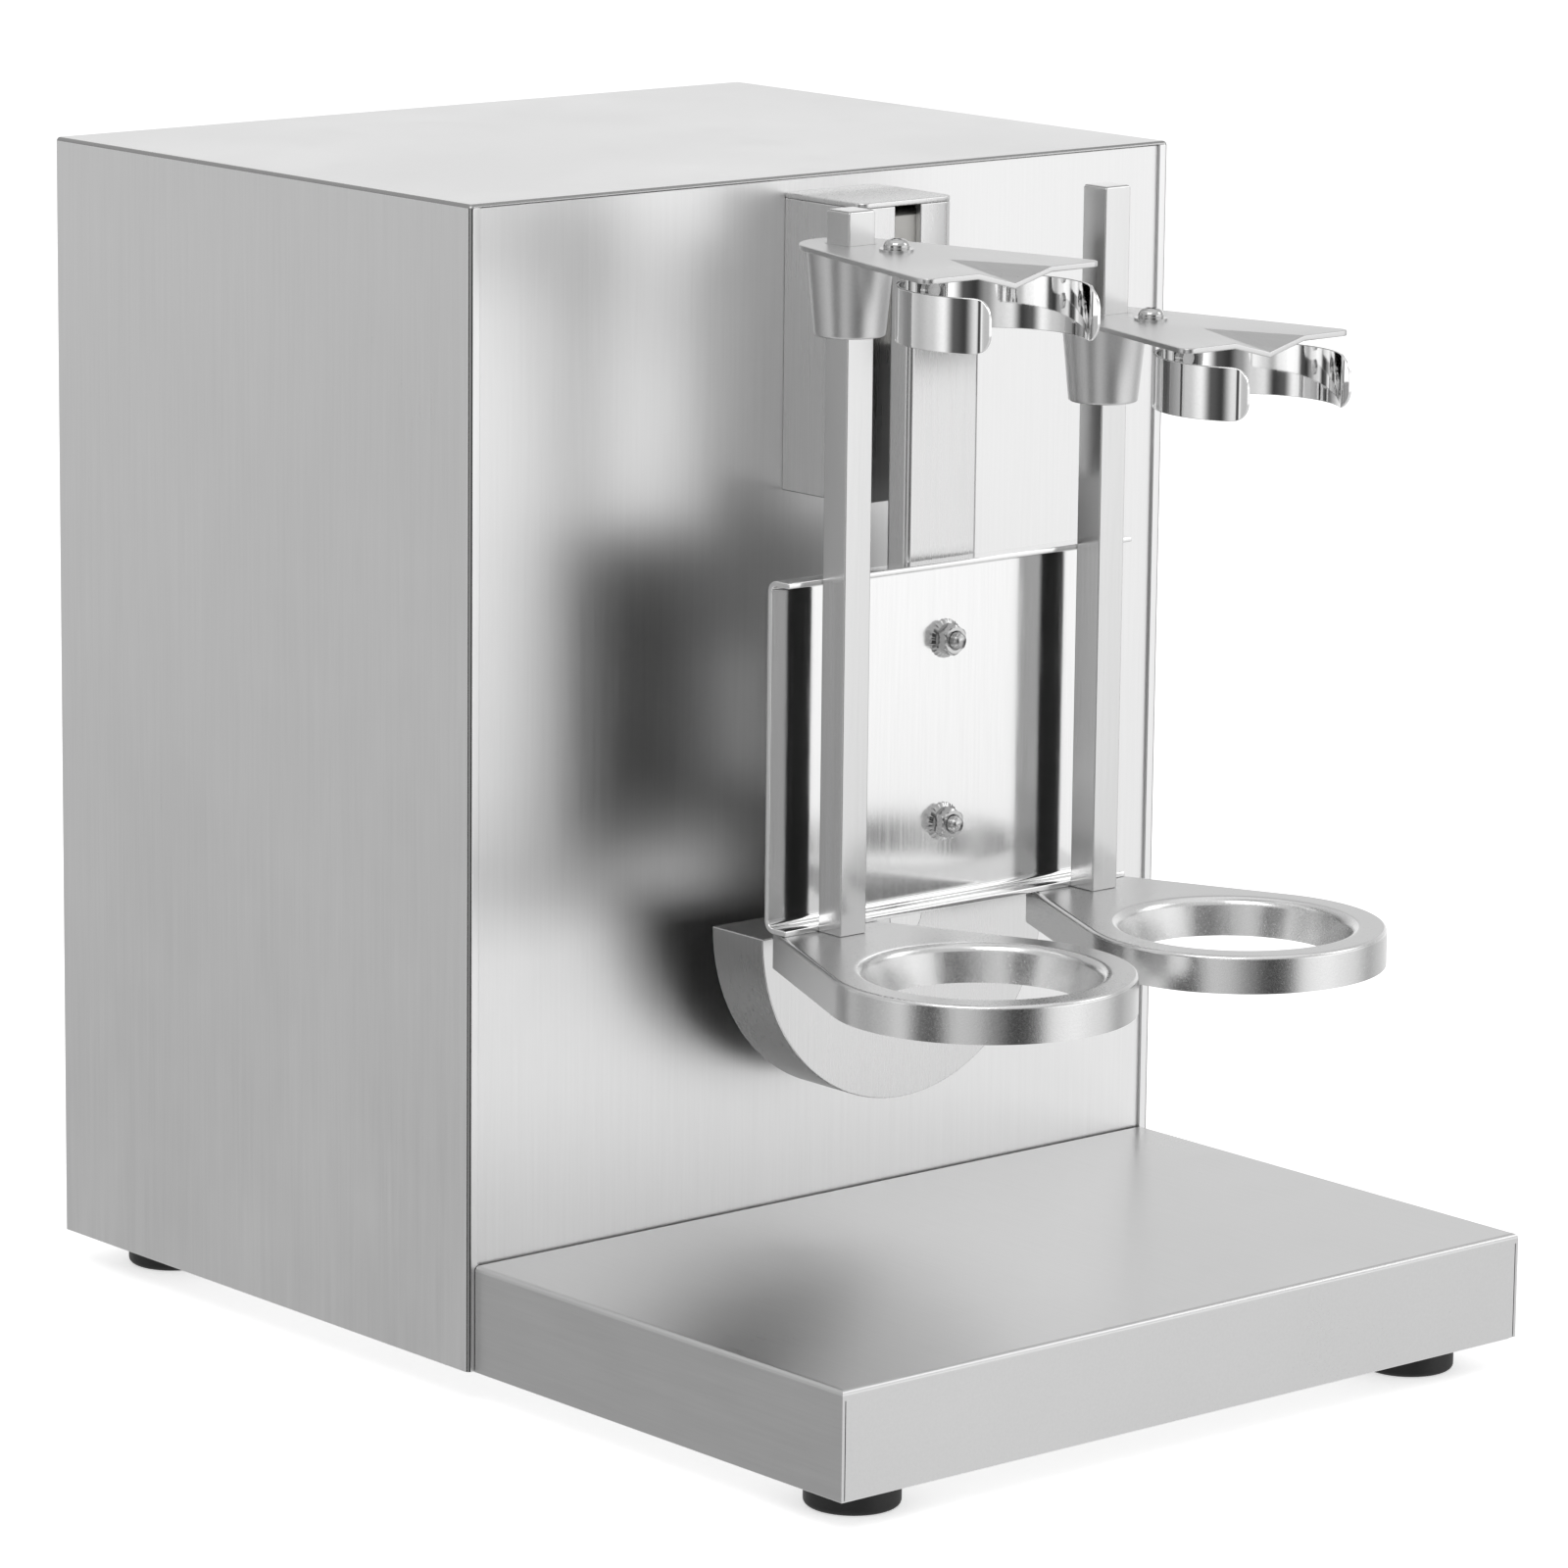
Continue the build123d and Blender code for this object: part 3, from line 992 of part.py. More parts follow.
PIECES = {
    "base_pan": make_base_pan(),
    "rubber_feet": make_feet(),
    "foot_screws": make_foot_screws(),
    "cover_shell": make_cover(),
    "front_panel": make_front_panel(),
    "shaft_seal": make_shaft_seal(),
    "rear_panel": make_rear_panel(),
    "rear_panel_screws": make_rear_screws(),
    "spill_tray": make_tray(),
    "slide_guide": make_guide(),
    "guide_cap": make_guide_cap(),
    "slider_block": make_slider(),
    "slider_neck": make_slider_neck(),
    "carriage_arm": make_arm(),
    "frame_plate": make_plate(),
    "plate_bolts": make_plate_bolts(),
    "plate_nuts": make_plate_nuts(),
    "rod_screws": make_rod_screws(),
    "wrist_pin": make_wrist_pin(),
    "connecting_link": make_link(),
    "counterweight": make_counterweight(),
    "crank_pin": make_crank_pin(),
    "crank_shaft": make_crank_shaft(),
    "driven_pulley": make_pulley(DRIVEN_PULLEY_R, SHAFT_R, CRANK_AXIS_Z),
    "drive_belt": make_belt(),
    "motor_pulley": make_pulley(MOTOR_PULLEY_R, MOTOR_SHAFT_R, MOTOR_AXIS_Z),
    "motor_shaft": make_motor_shaft(),
    "motor_body": make_motor(),
    "motor_bracket": make_motor_bracket(),
    "drive_plate": make_drive_plate(),
    "bearing_housing": make_bearing_housing(),
    "front_bearing": make_bearing(housing_y),
    "rear_bearing": make_bearing(housing_y + HOUSING_LEN - BEARING_T),
    "power_inlet": make_power_inlet(),
    "switch_housing": make_switch_housing(),
    "switch_rocker": make_switch_rocker(),
    "button_housing": make_button_housing(),
    "start_button": make_start_button(),
    "button_spring": make_button_spring(),
    "speed_control": make_pot_body(),
    "speed_knob": make_speed_knob(),
    "control_board": make_control_board(),
    "board_posts": make_board_posts(),
    "terminal_block": make_terminal_block(),
}

for side, centre_x in SIDES.items():
    height = CLAMP_TOP_Z[side]
    PIECES["rod_" + side] = make_rod(centre_x)
    PIECES["cup_ring_" + side] = make_ring(centre_x)
    PIECES["clamp_plate_" + side] = make_clamp_plate(centre_x, height)
    PIECES["clamp_bush_" + side] = make_clamp_bush(centre_x, height)
    PIECES["clamp_liner_" + side] = make_clamp_liner(centre_x, height)
    PIECES["clip_strap_" + side] = make_clip_strap(centre_x, height)
    PIECES["spring_clip_" + side] = make_spring_clip(centre_x, height)
    PIECES["clamp_fasteners_" + side] = make_clamp_fasteners(centre_x, height)

for piece_name, piece in PIECES.items():
    save(piece_name, piece)
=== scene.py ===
"""Cup shaker: finishes, fine pieces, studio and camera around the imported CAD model. Metres."""
import json
import math

import bmesh
import bpy
from mathutils import Matrix, Vector


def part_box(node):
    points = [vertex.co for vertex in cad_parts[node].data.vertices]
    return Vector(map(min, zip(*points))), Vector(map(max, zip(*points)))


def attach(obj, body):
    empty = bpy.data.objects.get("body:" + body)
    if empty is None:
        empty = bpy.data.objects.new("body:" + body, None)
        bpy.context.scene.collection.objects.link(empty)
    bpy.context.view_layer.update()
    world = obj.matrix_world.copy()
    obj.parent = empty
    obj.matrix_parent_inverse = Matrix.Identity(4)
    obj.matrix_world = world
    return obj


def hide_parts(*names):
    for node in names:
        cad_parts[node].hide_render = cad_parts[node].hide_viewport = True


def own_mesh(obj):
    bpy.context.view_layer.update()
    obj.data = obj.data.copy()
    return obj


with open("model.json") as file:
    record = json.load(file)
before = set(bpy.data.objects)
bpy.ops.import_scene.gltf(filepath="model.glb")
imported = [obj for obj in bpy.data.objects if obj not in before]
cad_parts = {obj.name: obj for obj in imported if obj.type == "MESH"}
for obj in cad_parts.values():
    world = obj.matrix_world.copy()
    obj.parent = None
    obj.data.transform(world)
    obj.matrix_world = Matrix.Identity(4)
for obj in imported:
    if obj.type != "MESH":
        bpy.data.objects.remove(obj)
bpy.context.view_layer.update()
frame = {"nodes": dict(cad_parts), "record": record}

NODES = frame["nodes"]
BODY_OF = {n: body for body, members in frame["record"]["behaviour"]["bodies"].items() for n in members}
SLOT_OF = {part["node"]: part["material_slot"] for part in frame["record"]["subparts"]}
MM = 0.001

# ---------------------------------------------------------------- camera
CAMERA_AZIMUTH = -40.62      # degrees from -Y towards +X
CAMERA_ELEVATION = 11.69
CAMERA_DISTANCE = 2.62
CAMERA_TARGET = Vector((-0.0366, -0.0475, 0.2136))
CAMERA_ROLL = 0.63
FOCAL_LENGTH = 166.7
SENSOR = 36.0


def make_camera():
    azimuth = math.radians(CAMERA_AZIMUTH)
    elevation = math.radians(CAMERA_ELEVATION)
    away = Vector((math.sin(azimuth) * math.cos(elevation), -math.cos(azimuth) * math.cos(elevation),
                   math.sin(elevation)))
    data = bpy.data.cameras.new("camera")
    data.lens = FOCAL_LENGTH
    data.sensor_width = SENSOR
    camera = bpy.data.objects.new("camera", data)
    bpy.context.scene.collection.objects.link(camera)
    turn = (-away).to_track_quat("-Z", "Y").to_matrix().to_4x4()
    roll = Matrix.Rotation(math.radians(CAMERA_ROLL), 4, "Z")
    camera.matrix_world = Matrix.Translation(CAMERA_TARGET + away * CAMERA_DISTANCE) @ turn @ roll
    bpy.context.scene.camera = camera


make_camera()


# ---------------------------------------------------------------- node helpers
MID_NOISE = (0.3, 0.7)       # the part of a noise's range that carries most of its area
RUBBED_ROUGHNESS = 0.08      # how far handling changes a plastic's roughness
GRAIN_ROUGHNESS = 0.04
CAST_ROUGHNESS = 0.05
CAST_BUMP = 0.06
FINE_BUMP = 0.0002           # depth of a metal's grain
COARSE_BUMP = 0.0003         # depth of cast skin and moulded grain


class Graph:
    """A small wrapper that adds nodes to a tree and links them."""

    def __init__(self, tree):
        self.tree = tree
        tree.nodes.clear()

    def add(self, kind, links=None, **settings):
        node = self.tree.nodes.new(kind)
        for key, value in settings.items():
            setattr(node, key, value)
        for socket, source in (links or {}).items():
            target = node.inputs[socket]
            if isinstance(source, bpy.types.NodeSocket):
                self.tree.links.new(source, target)
            else:
                target.default_value = source
        return node

    def math(self, operation, a, b=0.0, clamp=False):
        node = self.add("ShaderNodeMath", {0: a, 1: b}, operation=operation)
        node.use_clamp = clamp
        return node.outputs[0]

    def ramp(self, factor, stops, interpolation="EASE"):
        node = self.add("ShaderNodeValToRGB", {"Fac": factor})
        node.color_ramp.interpolation = interpolation
        elements = node.color_ramp.elements
        while len(elements) < len(stops):
            elements.new(0.5)
        for element, (place, value) in zip(elements, stops):
            element.position = place
        for element, (place, value) in zip(elements, stops):
            colour = (value, value, value) if isinstance(value, float) else value
            element.color = (*colour, 1.0)
        return node.outputs["Color"]

    def spread(self, value, low, high, start=0.0, end=1.0):
        node = self.add("ShaderNodeMapRange", {"Value": value, "From Min": start, "From Max": end,
                                               "To Min": low, "To Max": high})
        return node.outputs["Result"]


def noise(graph, scale, stretch=(1, 1, 1), detail=3.0, rough=0.55, offset=(0, 0, 0)):
    coord = graph.add("ShaderNodeTexCoord")
    mapping = graph.add("ShaderNodeMapping", {"Vector": coord.outputs["Object"]})
    mapping.inputs["Scale"].default_value = stretch
    mapping.inputs["Location"].default_value = offset
    node = graph.add("ShaderNodeTexNoise", {"Vector": mapping.outputs["Vector"], "Scale": scale,
                                            "Detail": detail, "Roughness": rough})
    return node.outputs["Fac"]


def new_material(name):
    material = bpy.data.materials.new(name)
    material.use_nodes = True
    return material, Graph(material.node_tree)


def finish_material(graph, colour, roughness, bump, strength, depth, **values):
    links = {"Base Color": colour, "Roughness": roughness}
    links.update(values)
    normal = graph.add("ShaderNodeBump", {"Height": bump, "Strength": strength, "Distance": depth})
    links["Normal"] = normal.outputs["Normal"]
    shader = graph.add("ShaderNodeBsdfPrincipled", links)
    graph.add("ShaderNodeOutputMaterial", {"Surface": shader.outputs["BSDF"]})


def tinted(graph, value, low, high):
    """A colour between two greys or tints, picked by a value."""
    mix = graph.add("ShaderNodeMix", {"Factor": value}, data_type="RGBA")
    mix.inputs[6].default_value = (*low, 1.0)
    mix.inputs[7].default_value = (*high, 1.0)
    return mix.outputs[2]


def metal(name, tone, rough, grain=(1, 1, 0.02), grain_scale=900.0, grain_rough=0.04, bump=0.04, smudge=0.04,
          streak=0.03):
    """Stainless, chrome or machined metal: fine grain, soft smudges and worn, brighter rubbed patches."""
    material, g = new_material(name)
    fine = noise(g, grain_scale, grain, 2.0, 0.6)
    wide = noise(g, 9.0, (1, 1, 1), 4.0, 0.6, (0.3, 0.1, 0.7))
    patch = noise(g, 34.0, (1, 1, 0.5), 5.0, 0.65, (1.3, 2.1, 0.2))
    roughness = g.math("ADD", g.spread(fine, rough - grain_rough, rough + grain_rough, 0.25, 0.75),
                       g.spread(wide, -smudge, smudge, *MID_NOISE))
    roughness = g.math("ADD", roughness, g.spread(patch, 0.0, smudge * 0.7, 0.52, 0.72), clamp=True)
    low = (tone * (1 - streak),) * 3
    high = (min(tone * (1 + streak), 1.0),) * 3
    shade = g.math("ADD", g.math("MULTIPLY", fine, 0.6), g.math("MULTIPLY", wide, 0.4))
    colour = tinted(g, g.spread(shade, 0.0, 1.0, *MID_NOISE), low, high)
    finish_material(g, colour, roughness, fine, bump, FINE_BUMP, Metallic=1.0)
    return material


def plastic(name, colour, rough, grain=700.0, bump=0.15, coat=0.0):
    """Moulded plastic, rubber or paint: spark-eroded grain, rubbed shine and a little colour drift."""
    material, g = new_material(name)
    fine = noise(g, grain, (1, 1, 1), 2.0, 0.6)
    wide = noise(g, 22.0, (1, 1, 1), 4.0, 0.6, (0.7, 0.2, 0.1))
    low = tuple(c * 0.82 for c in colour)
    high = tuple(min(c * 1.12 + 0.004, 1.0) for c in colour)
    rubbed = g.spread(wide, rough - RUBBED_ROUGHNESS, rough + RUBBED_ROUGHNESS, *MID_NOISE)
    roughness = g.math("ADD", rubbed, g.spread(fine, -GRAIN_ROUGHNESS, GRAIN_ROUGHNESS))
    drift = tinted(g, g.spread(wide, 0.0, 1.0, *MID_NOISE), low, high)
    finish_material(g, drift, roughness, fine, bump, COARSE_BUMP, **{"Metallic": 0.0, "Coat Weight": coat})
    return material


def cast(name, tone, rough):
    """Cast metal: coarse sand skin under a turned finish."""
    material, g = new_material(name)
    skin = noise(g, 1300.0, (1, 1, 1), 4.0, 0.6)
    wide = noise(g, 26.0, (1, 1, 1), 4.0, 0.6, (0.5, 0.4, 0.2))
    both = g.math("ADD", g.math("MULTIPLY", skin, 0.7), g.math("MULTIPLY", wide, 0.3))
    colour = tinted(g, g.spread(both, 0.0, 1.0, *MID_NOISE), (tone * 0.95,) * 3, (tone * 1.04,) * 3)
    roughness = g.spread(both, rough - CAST_ROUGHNESS, rough + CAST_ROUGHNESS, *MID_NOISE)
    finish_material(g, colour, roughness, skin, CAST_BUMP, COARSE_BUMP, Metallic=1.0)
    return material


MATERIALS = {
    "satin_steel": metal("satin_steel", 0.90, 0.34),
    "tray_steel": metal("tray_steel", 0.72, 0.30, grain=(1, 0.03, 1), grain_rough=0.02, bump=0.02,
                        smudge=0.02),
    "bright_steel": metal("bright_steel", 0.90, 0.13, grain=(1, 1, 0.03), grain_rough=0.03, bump=0.03,
                          smudge=0.03),
    "spring_chrome": metal("spring_chrome", 0.92, 0.04, grain=(1, 1, 1), grain_rough=0.01, bump=0.01,
                           smudge=0.02),
    "cast_alloy": cast("cast_alloy", 0.84, 0.24),
    "guide_steel": metal("guide_steel", 0.80, 0.30, bump=0.05, streak=0.05),
    "bearing_steel": metal("bearing_steel", 0.78, 0.14),
    "plated_steel": metal("plated_steel", 0.62, 0.13, grain=(1, 1, 1), grain_scale=500.0),
    # painted shade: near-black steel for backs that face the front panel, so their reflection in it reads
    # dark
    "painted_shade_black_back": metal("painted_shade_black_back", 0.03, 0.5, grain=(1, 1, 1), grain_scale=300.0, streak=0.25),
    # painted shade: grey steel for the carriage arm's back, darkening its reflection in the front panel
    "painted_shade_grey_back": metal("painted_shade_grey_back", 0.24, 0.42, grain=(1, 1, 1), grain_scale=300.0, streak=0.12),
    # painted shade: darker steel for the counterweight's top and sides, which lie in shade
    "painted_shade_side": metal("painted_shade_side", 0.42, 0.30, grain=(1, 1, 0.02), streak=0.06),
    "panel_steel": metal("panel_steel", 0.90, 0.38, grain_rough=0.02, bump=0.02, smudge=0.02),
    "arm_steel": metal("arm_steel", 0.74, 0.26),
    "clamp_steel": metal("clamp_steel", 0.74, 0.32, grain=(1, 0.03, 1)),
    "rod_steel": metal("rod_steel", 0.72, 0.18, grain=(1, 1, 0.03), grain_rough=0.03, bump=0.03, smudge=0.03),
    "blasted_alloy": cast("blasted_alloy", 0.80, 0.36),
    "faced_alloy": cast("faced_alloy", 0.66, 0.30),
    # painted reflection: darker steel for the cover's bends, drawing a dark line along its edges
    "painted_dark_bend_reflection": metal("painted_dark_bend_reflection", 0.42, 0.20, grain=(1, 1, 1), grain_scale=500.0, smudge=0.02),
    "black_rubber": plastic("black_rubber", (0.018, 0.018, 0.018), 0.55, 500.0, 0.25),
    "nylon": plastic("nylon", (0.80, 0.79, 0.76), 0.42),
    "pulley_alloy": cast("pulley_alloy", 0.66, 0.34),
    "motor_paint": plastic("motor_paint", (0.05, 0.055, 0.06), 0.38, 350.0, 0.2, 0.3),
    "black_plastic": plastic("black_plastic", (0.022, 0.022, 0.024), 0.40),
    "red_plastic": plastic("red_plastic", (0.55, 0.02, 0.015), 0.30, 700.0, 0.05),
    "green_plastic": plastic("green_plastic", (0.02, 0.36, 0.09), 0.30, 700.0, 0.05),
    "board_green": plastic("board_green", (0.02, 0.16, 0.06), 0.35, 900.0, 0.1, 0.4),
}

for node_name, node_object in NODES.items():
    node_object.data.materials.clear()
    node_object.data.materials.append(MATERIALS[SLOT_OF[node_name]])


# ---------------------------------------------------------------- fine pieces
def place_piece(name, mesh, body, slot, replaced=()):
    piece = bpy.data.objects.new(name, mesh)
    bpy.context.scene.collection.objects.link(piece)
    if not mesh.materials:
        mesh.materials.append(MATERIALS[slot])
    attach(piece, body)
    if replaced:
        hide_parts(*replaced)
    return piece


def faces_back(face):
    return face.normal.y > 0.9


def faces_up(face):
    return face.normal.z > 0.95


def faces_sideways(face):
    return abs(face.normal.y) < 0.5


def on_a_bend(face):
    return max(abs(c) for c in face.normal) < 0.97


WELD = 2e-6
FLAT_ANGLE = math.radians(0.4)      # neighbouring facets this close to flat become one face
SHARP_ANGLE = math.radians(35)
NORMAL_WEIGHT = 60


def refine(node, width, main=None, painted_shade_and_finishes=()):
    """The node's own shape with its cut edges broken, or left sharp at width 0, its shading evened out and,
    where a rule picks faces,
    another material on them: painted shade on backs and sides, a painted dark reflection on bends, a faced
    finish on the cup rings' tops."""
    mesh = NODES[node].data.copy()
    mesh.name = node + "_fine"
    bm = bmesh.new()
    bm.from_mesh(mesh)
    for layer in list(bm.loops.layers.float_vector):
        bm.loops.layers.float_vector.remove(layer)
    bmesh.ops.remove_doubles(bm, verts=bm.verts, dist=WELD)
    bmesh.ops.dissolve_limit(bm, angle_limit=FLAT_ANGLE, verts=bm.verts, edges=bm.edges)
    sharp = [e for e in bm.edges if len(e.link_faces) == 2 and e.calc_face_angle(0.0) > SHARP_ANGLE]
    for face in bm.faces:
        face.material_index = 0
        for index, (finish, rule) in enumerate(painted_shade_and_finishes):
            if rule(face):
                face.material_index = index + 1
    if width:
        bmesh.ops.bevel(bm, geom=sharp, offset=width, offset_type="OFFSET", segments=2, profile=0.5,
                        affect="EDGES", clamp_overlap=False)
    else:
        for edge in sharp:
            edge.smooth = False
    for face in bm.faces:
        face.smooth = True
    bm.to_mesh(mesh)
    bm.free()
    if "custom_normal" in mesh.attributes:
        mesh.attributes.remove(mesh.attributes["custom_normal"])
    if main:
        mesh.materials[0] = MATERIALS[main]
    for finish, rule in painted_shade_and_finishes:
        mesh.materials.append(MATERIALS[finish])
    piece = place_piece(node + "_fine", mesh, BODY_OF[node], SLOT_OF[node], (node,))
    evened = piece.modifiers.new("evened", "WEIGHTED_NORMAL")
    evened.weight = NORMAL_WEIGHT
    evened.keep_sharp = True


EDGE_BREAKS = {
    0.0005: ["slide_guide", "guide_cap", "slider_block", "slider_neck"],
    0.0004: ["connecting_link"],
    0.0003: ["clip_strap_left", "clip_strap_right", "base_pan"],
}
for edge_break, node_names in EDGE_BREAKS.items():
    for node_name in node_names:
        refine(node_name, edge_break)
for side in ("left", "right"):
    # the rods' backs get near-black painted shade
    refine("rod_" + side, 0.0005, "rod_steel", [("painted_shade_black_back", faces_back)])
    refine("clamp_plate_" + side, 0.0004, "clamp_steel")
    refine("cup_ring_" + side, 0, None, [("faced_alloy", faces_up)])
    NODES["clamp_bush_" + side].data.materials[0] = MATERIALS["blasted_alloy"]
# the plate's back gets near-black painted shade
refine("frame_plate", 0.0004, None, [("painted_shade_black_back", faces_back)])
# the arm's back gets grey painted shade
refine("carriage_arm", 0.0005, "arm_steel", [("painted_shade_grey_back", faces_back)])
# the counterweight's top and sides get darker painted shade, its back near-black painted shade
refine("counterweight", 0.0004, "arm_steel", [("painted_shade_side", faces_sideways), ("painted_shade_black_back", faces_back)])
refine("front_panel", 0.0003, "panel_steel")
# the cover's bends get a painted dark reflection
refine("cover_shell", 0.0002, None, [("painted_dark_bend_reflection", on_a_bend)])


def skin(rows, count):
    """Quads between neighbouring rows of a tube that has the same number of points in every row."""
    faces = []
    for row in range(rows - 1):
        for i in range(count):
            k = (i + 1) % count
            below = row * count
            above = below + count
            faces.append((below + i, below + k, above + k, above + i))
    return faces


def lathe(profile, centre, axis, segments=64, name="lathe"):
    """A turned solid: (along, radius) points swept round an axis through the centre."""
    mesh = bpy.data.meshes.new(name)
    turn = Vector((0, 0, 1)).rotation_difference(Vector(axis)).to_matrix()
    rings = []
    verts = []
    for along, radius in profile:
        if radius < 1e-7:
            rings.append([len(verts)] * segments)
            verts.append(Vector((0, 0, along)))
            continue
        rings.append(list(range(len(verts), len(verts) + segments)))
        for i in range(segments):
            angle = 2 * math.pi * i / segments
            verts.append(Vector((radius * math.cos(angle), radius * math.sin(angle), along)))
    faces = []
    for low, high in zip(rings, rings[1:]):
        for i in range(segments):
            k = (i + 1) % segments
            corners = []
            for v in (low[i], low[k], high[k], high[i]):
                if v not in corners:
                    corners.append(v)
            faces.append(corners)
    mesh.from_pydata([turn @ v + Vector(centre) for v in verts], [], faces)
    for polygon in mesh.polygons:
        polygon.use_smooth = True
    return mesh


def join_meshes(name, meshes):
    bm = bmesh.new()
    for mesh in meshes:
        bm.from_mesh(mesh)
    bmesh.ops.recalc_face_normals(bm, faces=bm.faces)
    joined = bpy.data.meshes.new(name)
    bm.to_mesh(joined)
    bm.free()
    return joined


THREAD_PITCH = 1.0 * MM
THREAD_DEPTH = 0.3 * MM
THREAD_ROWS = 6              # rows of points in one turn of the thread
THREAD_TIP = 0.9 * MM        # length of the tapered tip
THREAD_TIP_SHARE = 0.78      # the tip's radius over the bolt's


def threaded_end(centre, axis, radius, length, segments=36):
    """The end of a bolt with a rolled thread and a tapered tip."""
    rows = int(length / THREAD_PITCH * THREAD_ROWS)
    turn = Vector((0, 0, 1)).rotation_difference(Vector(axis)).to_matrix()
    verts = []
    for row in range(rows + 1):
        along = length * row / rows
        taper = min(1.0, (length - along) / THREAD_TIP)
        for i in range(segments):
            phase = (along / THREAD_PITCH - i / segments) % 1.0
            ridge = abs(phase - 0.5) * 2
            r = (radius - THREAD_DEPTH * ridge) * (THREAD_TIP_SHARE + (1 - THREAD_TIP_SHARE) * taper)
            angle = 2 * math.pi * i / segments
            verts.append(Vector((r * math.cos(angle), r * math.sin(angle), along)))
    faces = skin(rows + 1, segments)
    faces.append(tuple(range(segments))[::-1])
    faces.append(tuple(rows * segments + i for i in range(segments)))
    mesh = bpy.data.meshes.new("thread")
    mesh.from_pydata([turn @ v + Vector(centre) for v in verts], [], faces)
    for polygon in mesh.polygons:
        polygon.use_smooth = True
    return mesh


NUT_POINTS = 96
NUT_CROWN = 0.9 * MM         # height of the chamfer that crowns the corners
NUT_CROWN_MID = 0.4 * MM
NUT_LIP = 0.2 * MM
NUT_COUNTERSINK = 0.6 * MM
SERRATION = 0.22 * MM


def hex_nut(centre, axis, flats, height, bore, flange_r, flange_h):
    """A nut with crowned corners, a countersunk bore and a serrated flange under it."""
    turn = Vector((0, 0, 1)).rotation_difference(Vector(axis)).to_matrix()
    corner = flats / 2 / math.cos(math.radians(30))

    def flat_radius(angle):
        return flats / 2 / math.cos((angle + math.radians(30)) % math.radians(60) - math.radians(30))

    def serrated(angle, i):
        return flange_r - (SERRATION if i % 4 < 2 else 0.0)

    def crowned(angle, i):
        return min(flat_radius(angle), flats / 2 + NUT_CROWN_MID)

    rows = [
        (0.0, serrated),
        (flange_h * 0.45, serrated),
        (flange_h, lambda a, i: flats / 2 + NUT_CROWN_MID + (corner - flats / 2) * 0.2),
        (flange_h, lambda a, i: flat_radius(a)),
        (height - NUT_CROWN, lambda a, i: flat_radius(a)),
        (height - NUT_CROWN_MID, crowned),
        (height, lambda a, i: flats / 2 - NUT_LIP),
        (height, lambda a, i: bore + NUT_COUNTERSINK),
        (height - NUT_COUNTERSINK, lambda a, i: bore),
        (0.0, lambda a, i: bore),
    ]
    verts = []
    for along, radius in rows:
        for i in range(NUT_POINTS):
            angle = 2 * math.pi * i / NUT_POINTS
            r = radius(angle, i)
            verts.append(turn @ Vector((r * math.cos(angle), r * math.sin(angle), along)) + Vector(centre))
    faces = skin(len(rows), NUT_POINTS)
    last = (len(rows) - 1) * NUT_POINTS
    for i in range(NUT_POINTS):
        k = (i + 1) % NUT_POINTS
        faces.append((last + i, last + k, k, i))
    mesh = bpy.data.meshes.new("nut")
    mesh.from_pydata(verts, [], faces)
    return mesh


NUT_FLATS = 10 * MM
NUT_FLANGE_H = 1.4 * MM
NUT_BORE = 3.02 * MM
BOLT_R = 3.0 * MM
BOLT_HEAD_R = 4.9 * MM
BOLT_HEAD_H = 4.0 * MM
BOLT_HEAD_TOP_R = 4.4 * MM
BOLT_HEAD_SHOULDER = 3.4 * MM


def make_plate_fasteners():
    low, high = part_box("plate_nuts")
    bolt_low, bolt_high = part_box("plate_bolts")
    seat_y = high.y
    nut_h = high.y - low.y
    half = (high.x - low.x) / 2
    meshes = []
    threads = []
    for z in (low.z + half, high.z - half):
        meshes.append(hex_nut((0, seat_y, z), (0, -1, 0), NUT_FLATS, nut_h, NUT_BORE, half, NUT_FLANGE_H))
        threads.append(threaded_end((0, bolt_high.y, z), (0, -1, 0), BOLT_R, bolt_high.y - bolt_low.y))
        head = [(0, 0), (0, BOLT_HEAD_R), (BOLT_HEAD_SHOULDER, BOLT_HEAD_R), (BOLT_HEAD_H, BOLT_HEAD_TOP_R),
                (BOLT_HEAD_H, 0)]
        threads.append(lathe(head, (0, bolt_high.y, z), (0, -1, 0), 6))
    place_piece("plate_nuts_fine", join_meshes("plate_nuts_fine", meshes), "carriage", "plated_steel",
                ("plate_nuts",))
    place_piece("plate_bolts_fine", join_meshes("plate_bolts_fine", threads), "carriage", "plated_steel",
                ("plate_bolts",))


SPRING_WIRE_R = 0.4 * MM
SPRING_TURNS = 5


def make_coil_spring():
    low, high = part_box("button_spring")
    middle = (low + high) / 2
    wire = SPRING_WIRE_R
    radius = (high.x - low.x) / 2 - wire
    length = high.y - low.y - 2 * wire
    turns = SPRING_TURNS
    steps = 30
    around = 10
    verts = []
    for n in range(turns * steps + 1):
        share = n / (turns * steps)
        angle = 2 * math.pi * turns * share
        out = Vector((math.cos(angle), 0, math.sin(angle)))
        centre = Vector((middle.x, low.y + wire + length * share, middle.z)) + out * radius
        for i in range(around):
            turn = 2 * math.pi * i / around
            verts.append(centre + out * wire * math.cos(turn) + Vector((0, 1, 0)) * wire * math.sin(turn))
    faces = skin(turns * steps + 1, around)
    faces.append(tuple(range(around))[::-1])
    faces.append(tuple(turns * steps * around + i for i in range(around)))
    mesh = bpy.data.meshes.new("button_spring_fine")
    mesh.from_pydata(verts, [], faces)
    for polygon in mesh.polygons:
        polygon.use_smooth = True
    spring = place_piece("button_spring_fine", mesh, "cabinet", "plated_steel", ("button_spring",))
    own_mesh(spring)


DIAL_MARKS = 11
DIAL_TURN = 270.0            # degrees from the first mark to the last
MARK_LONG = 3.6 * MM
MARK_SHORT = 2.2 * MM
MARK_W = 0.7 * MM
MARK_T = 0.2 * MM
MARK_GAP = 1.6 * MM          # knob's edge to the marks
MARK_EDGE = 0.07 * MM


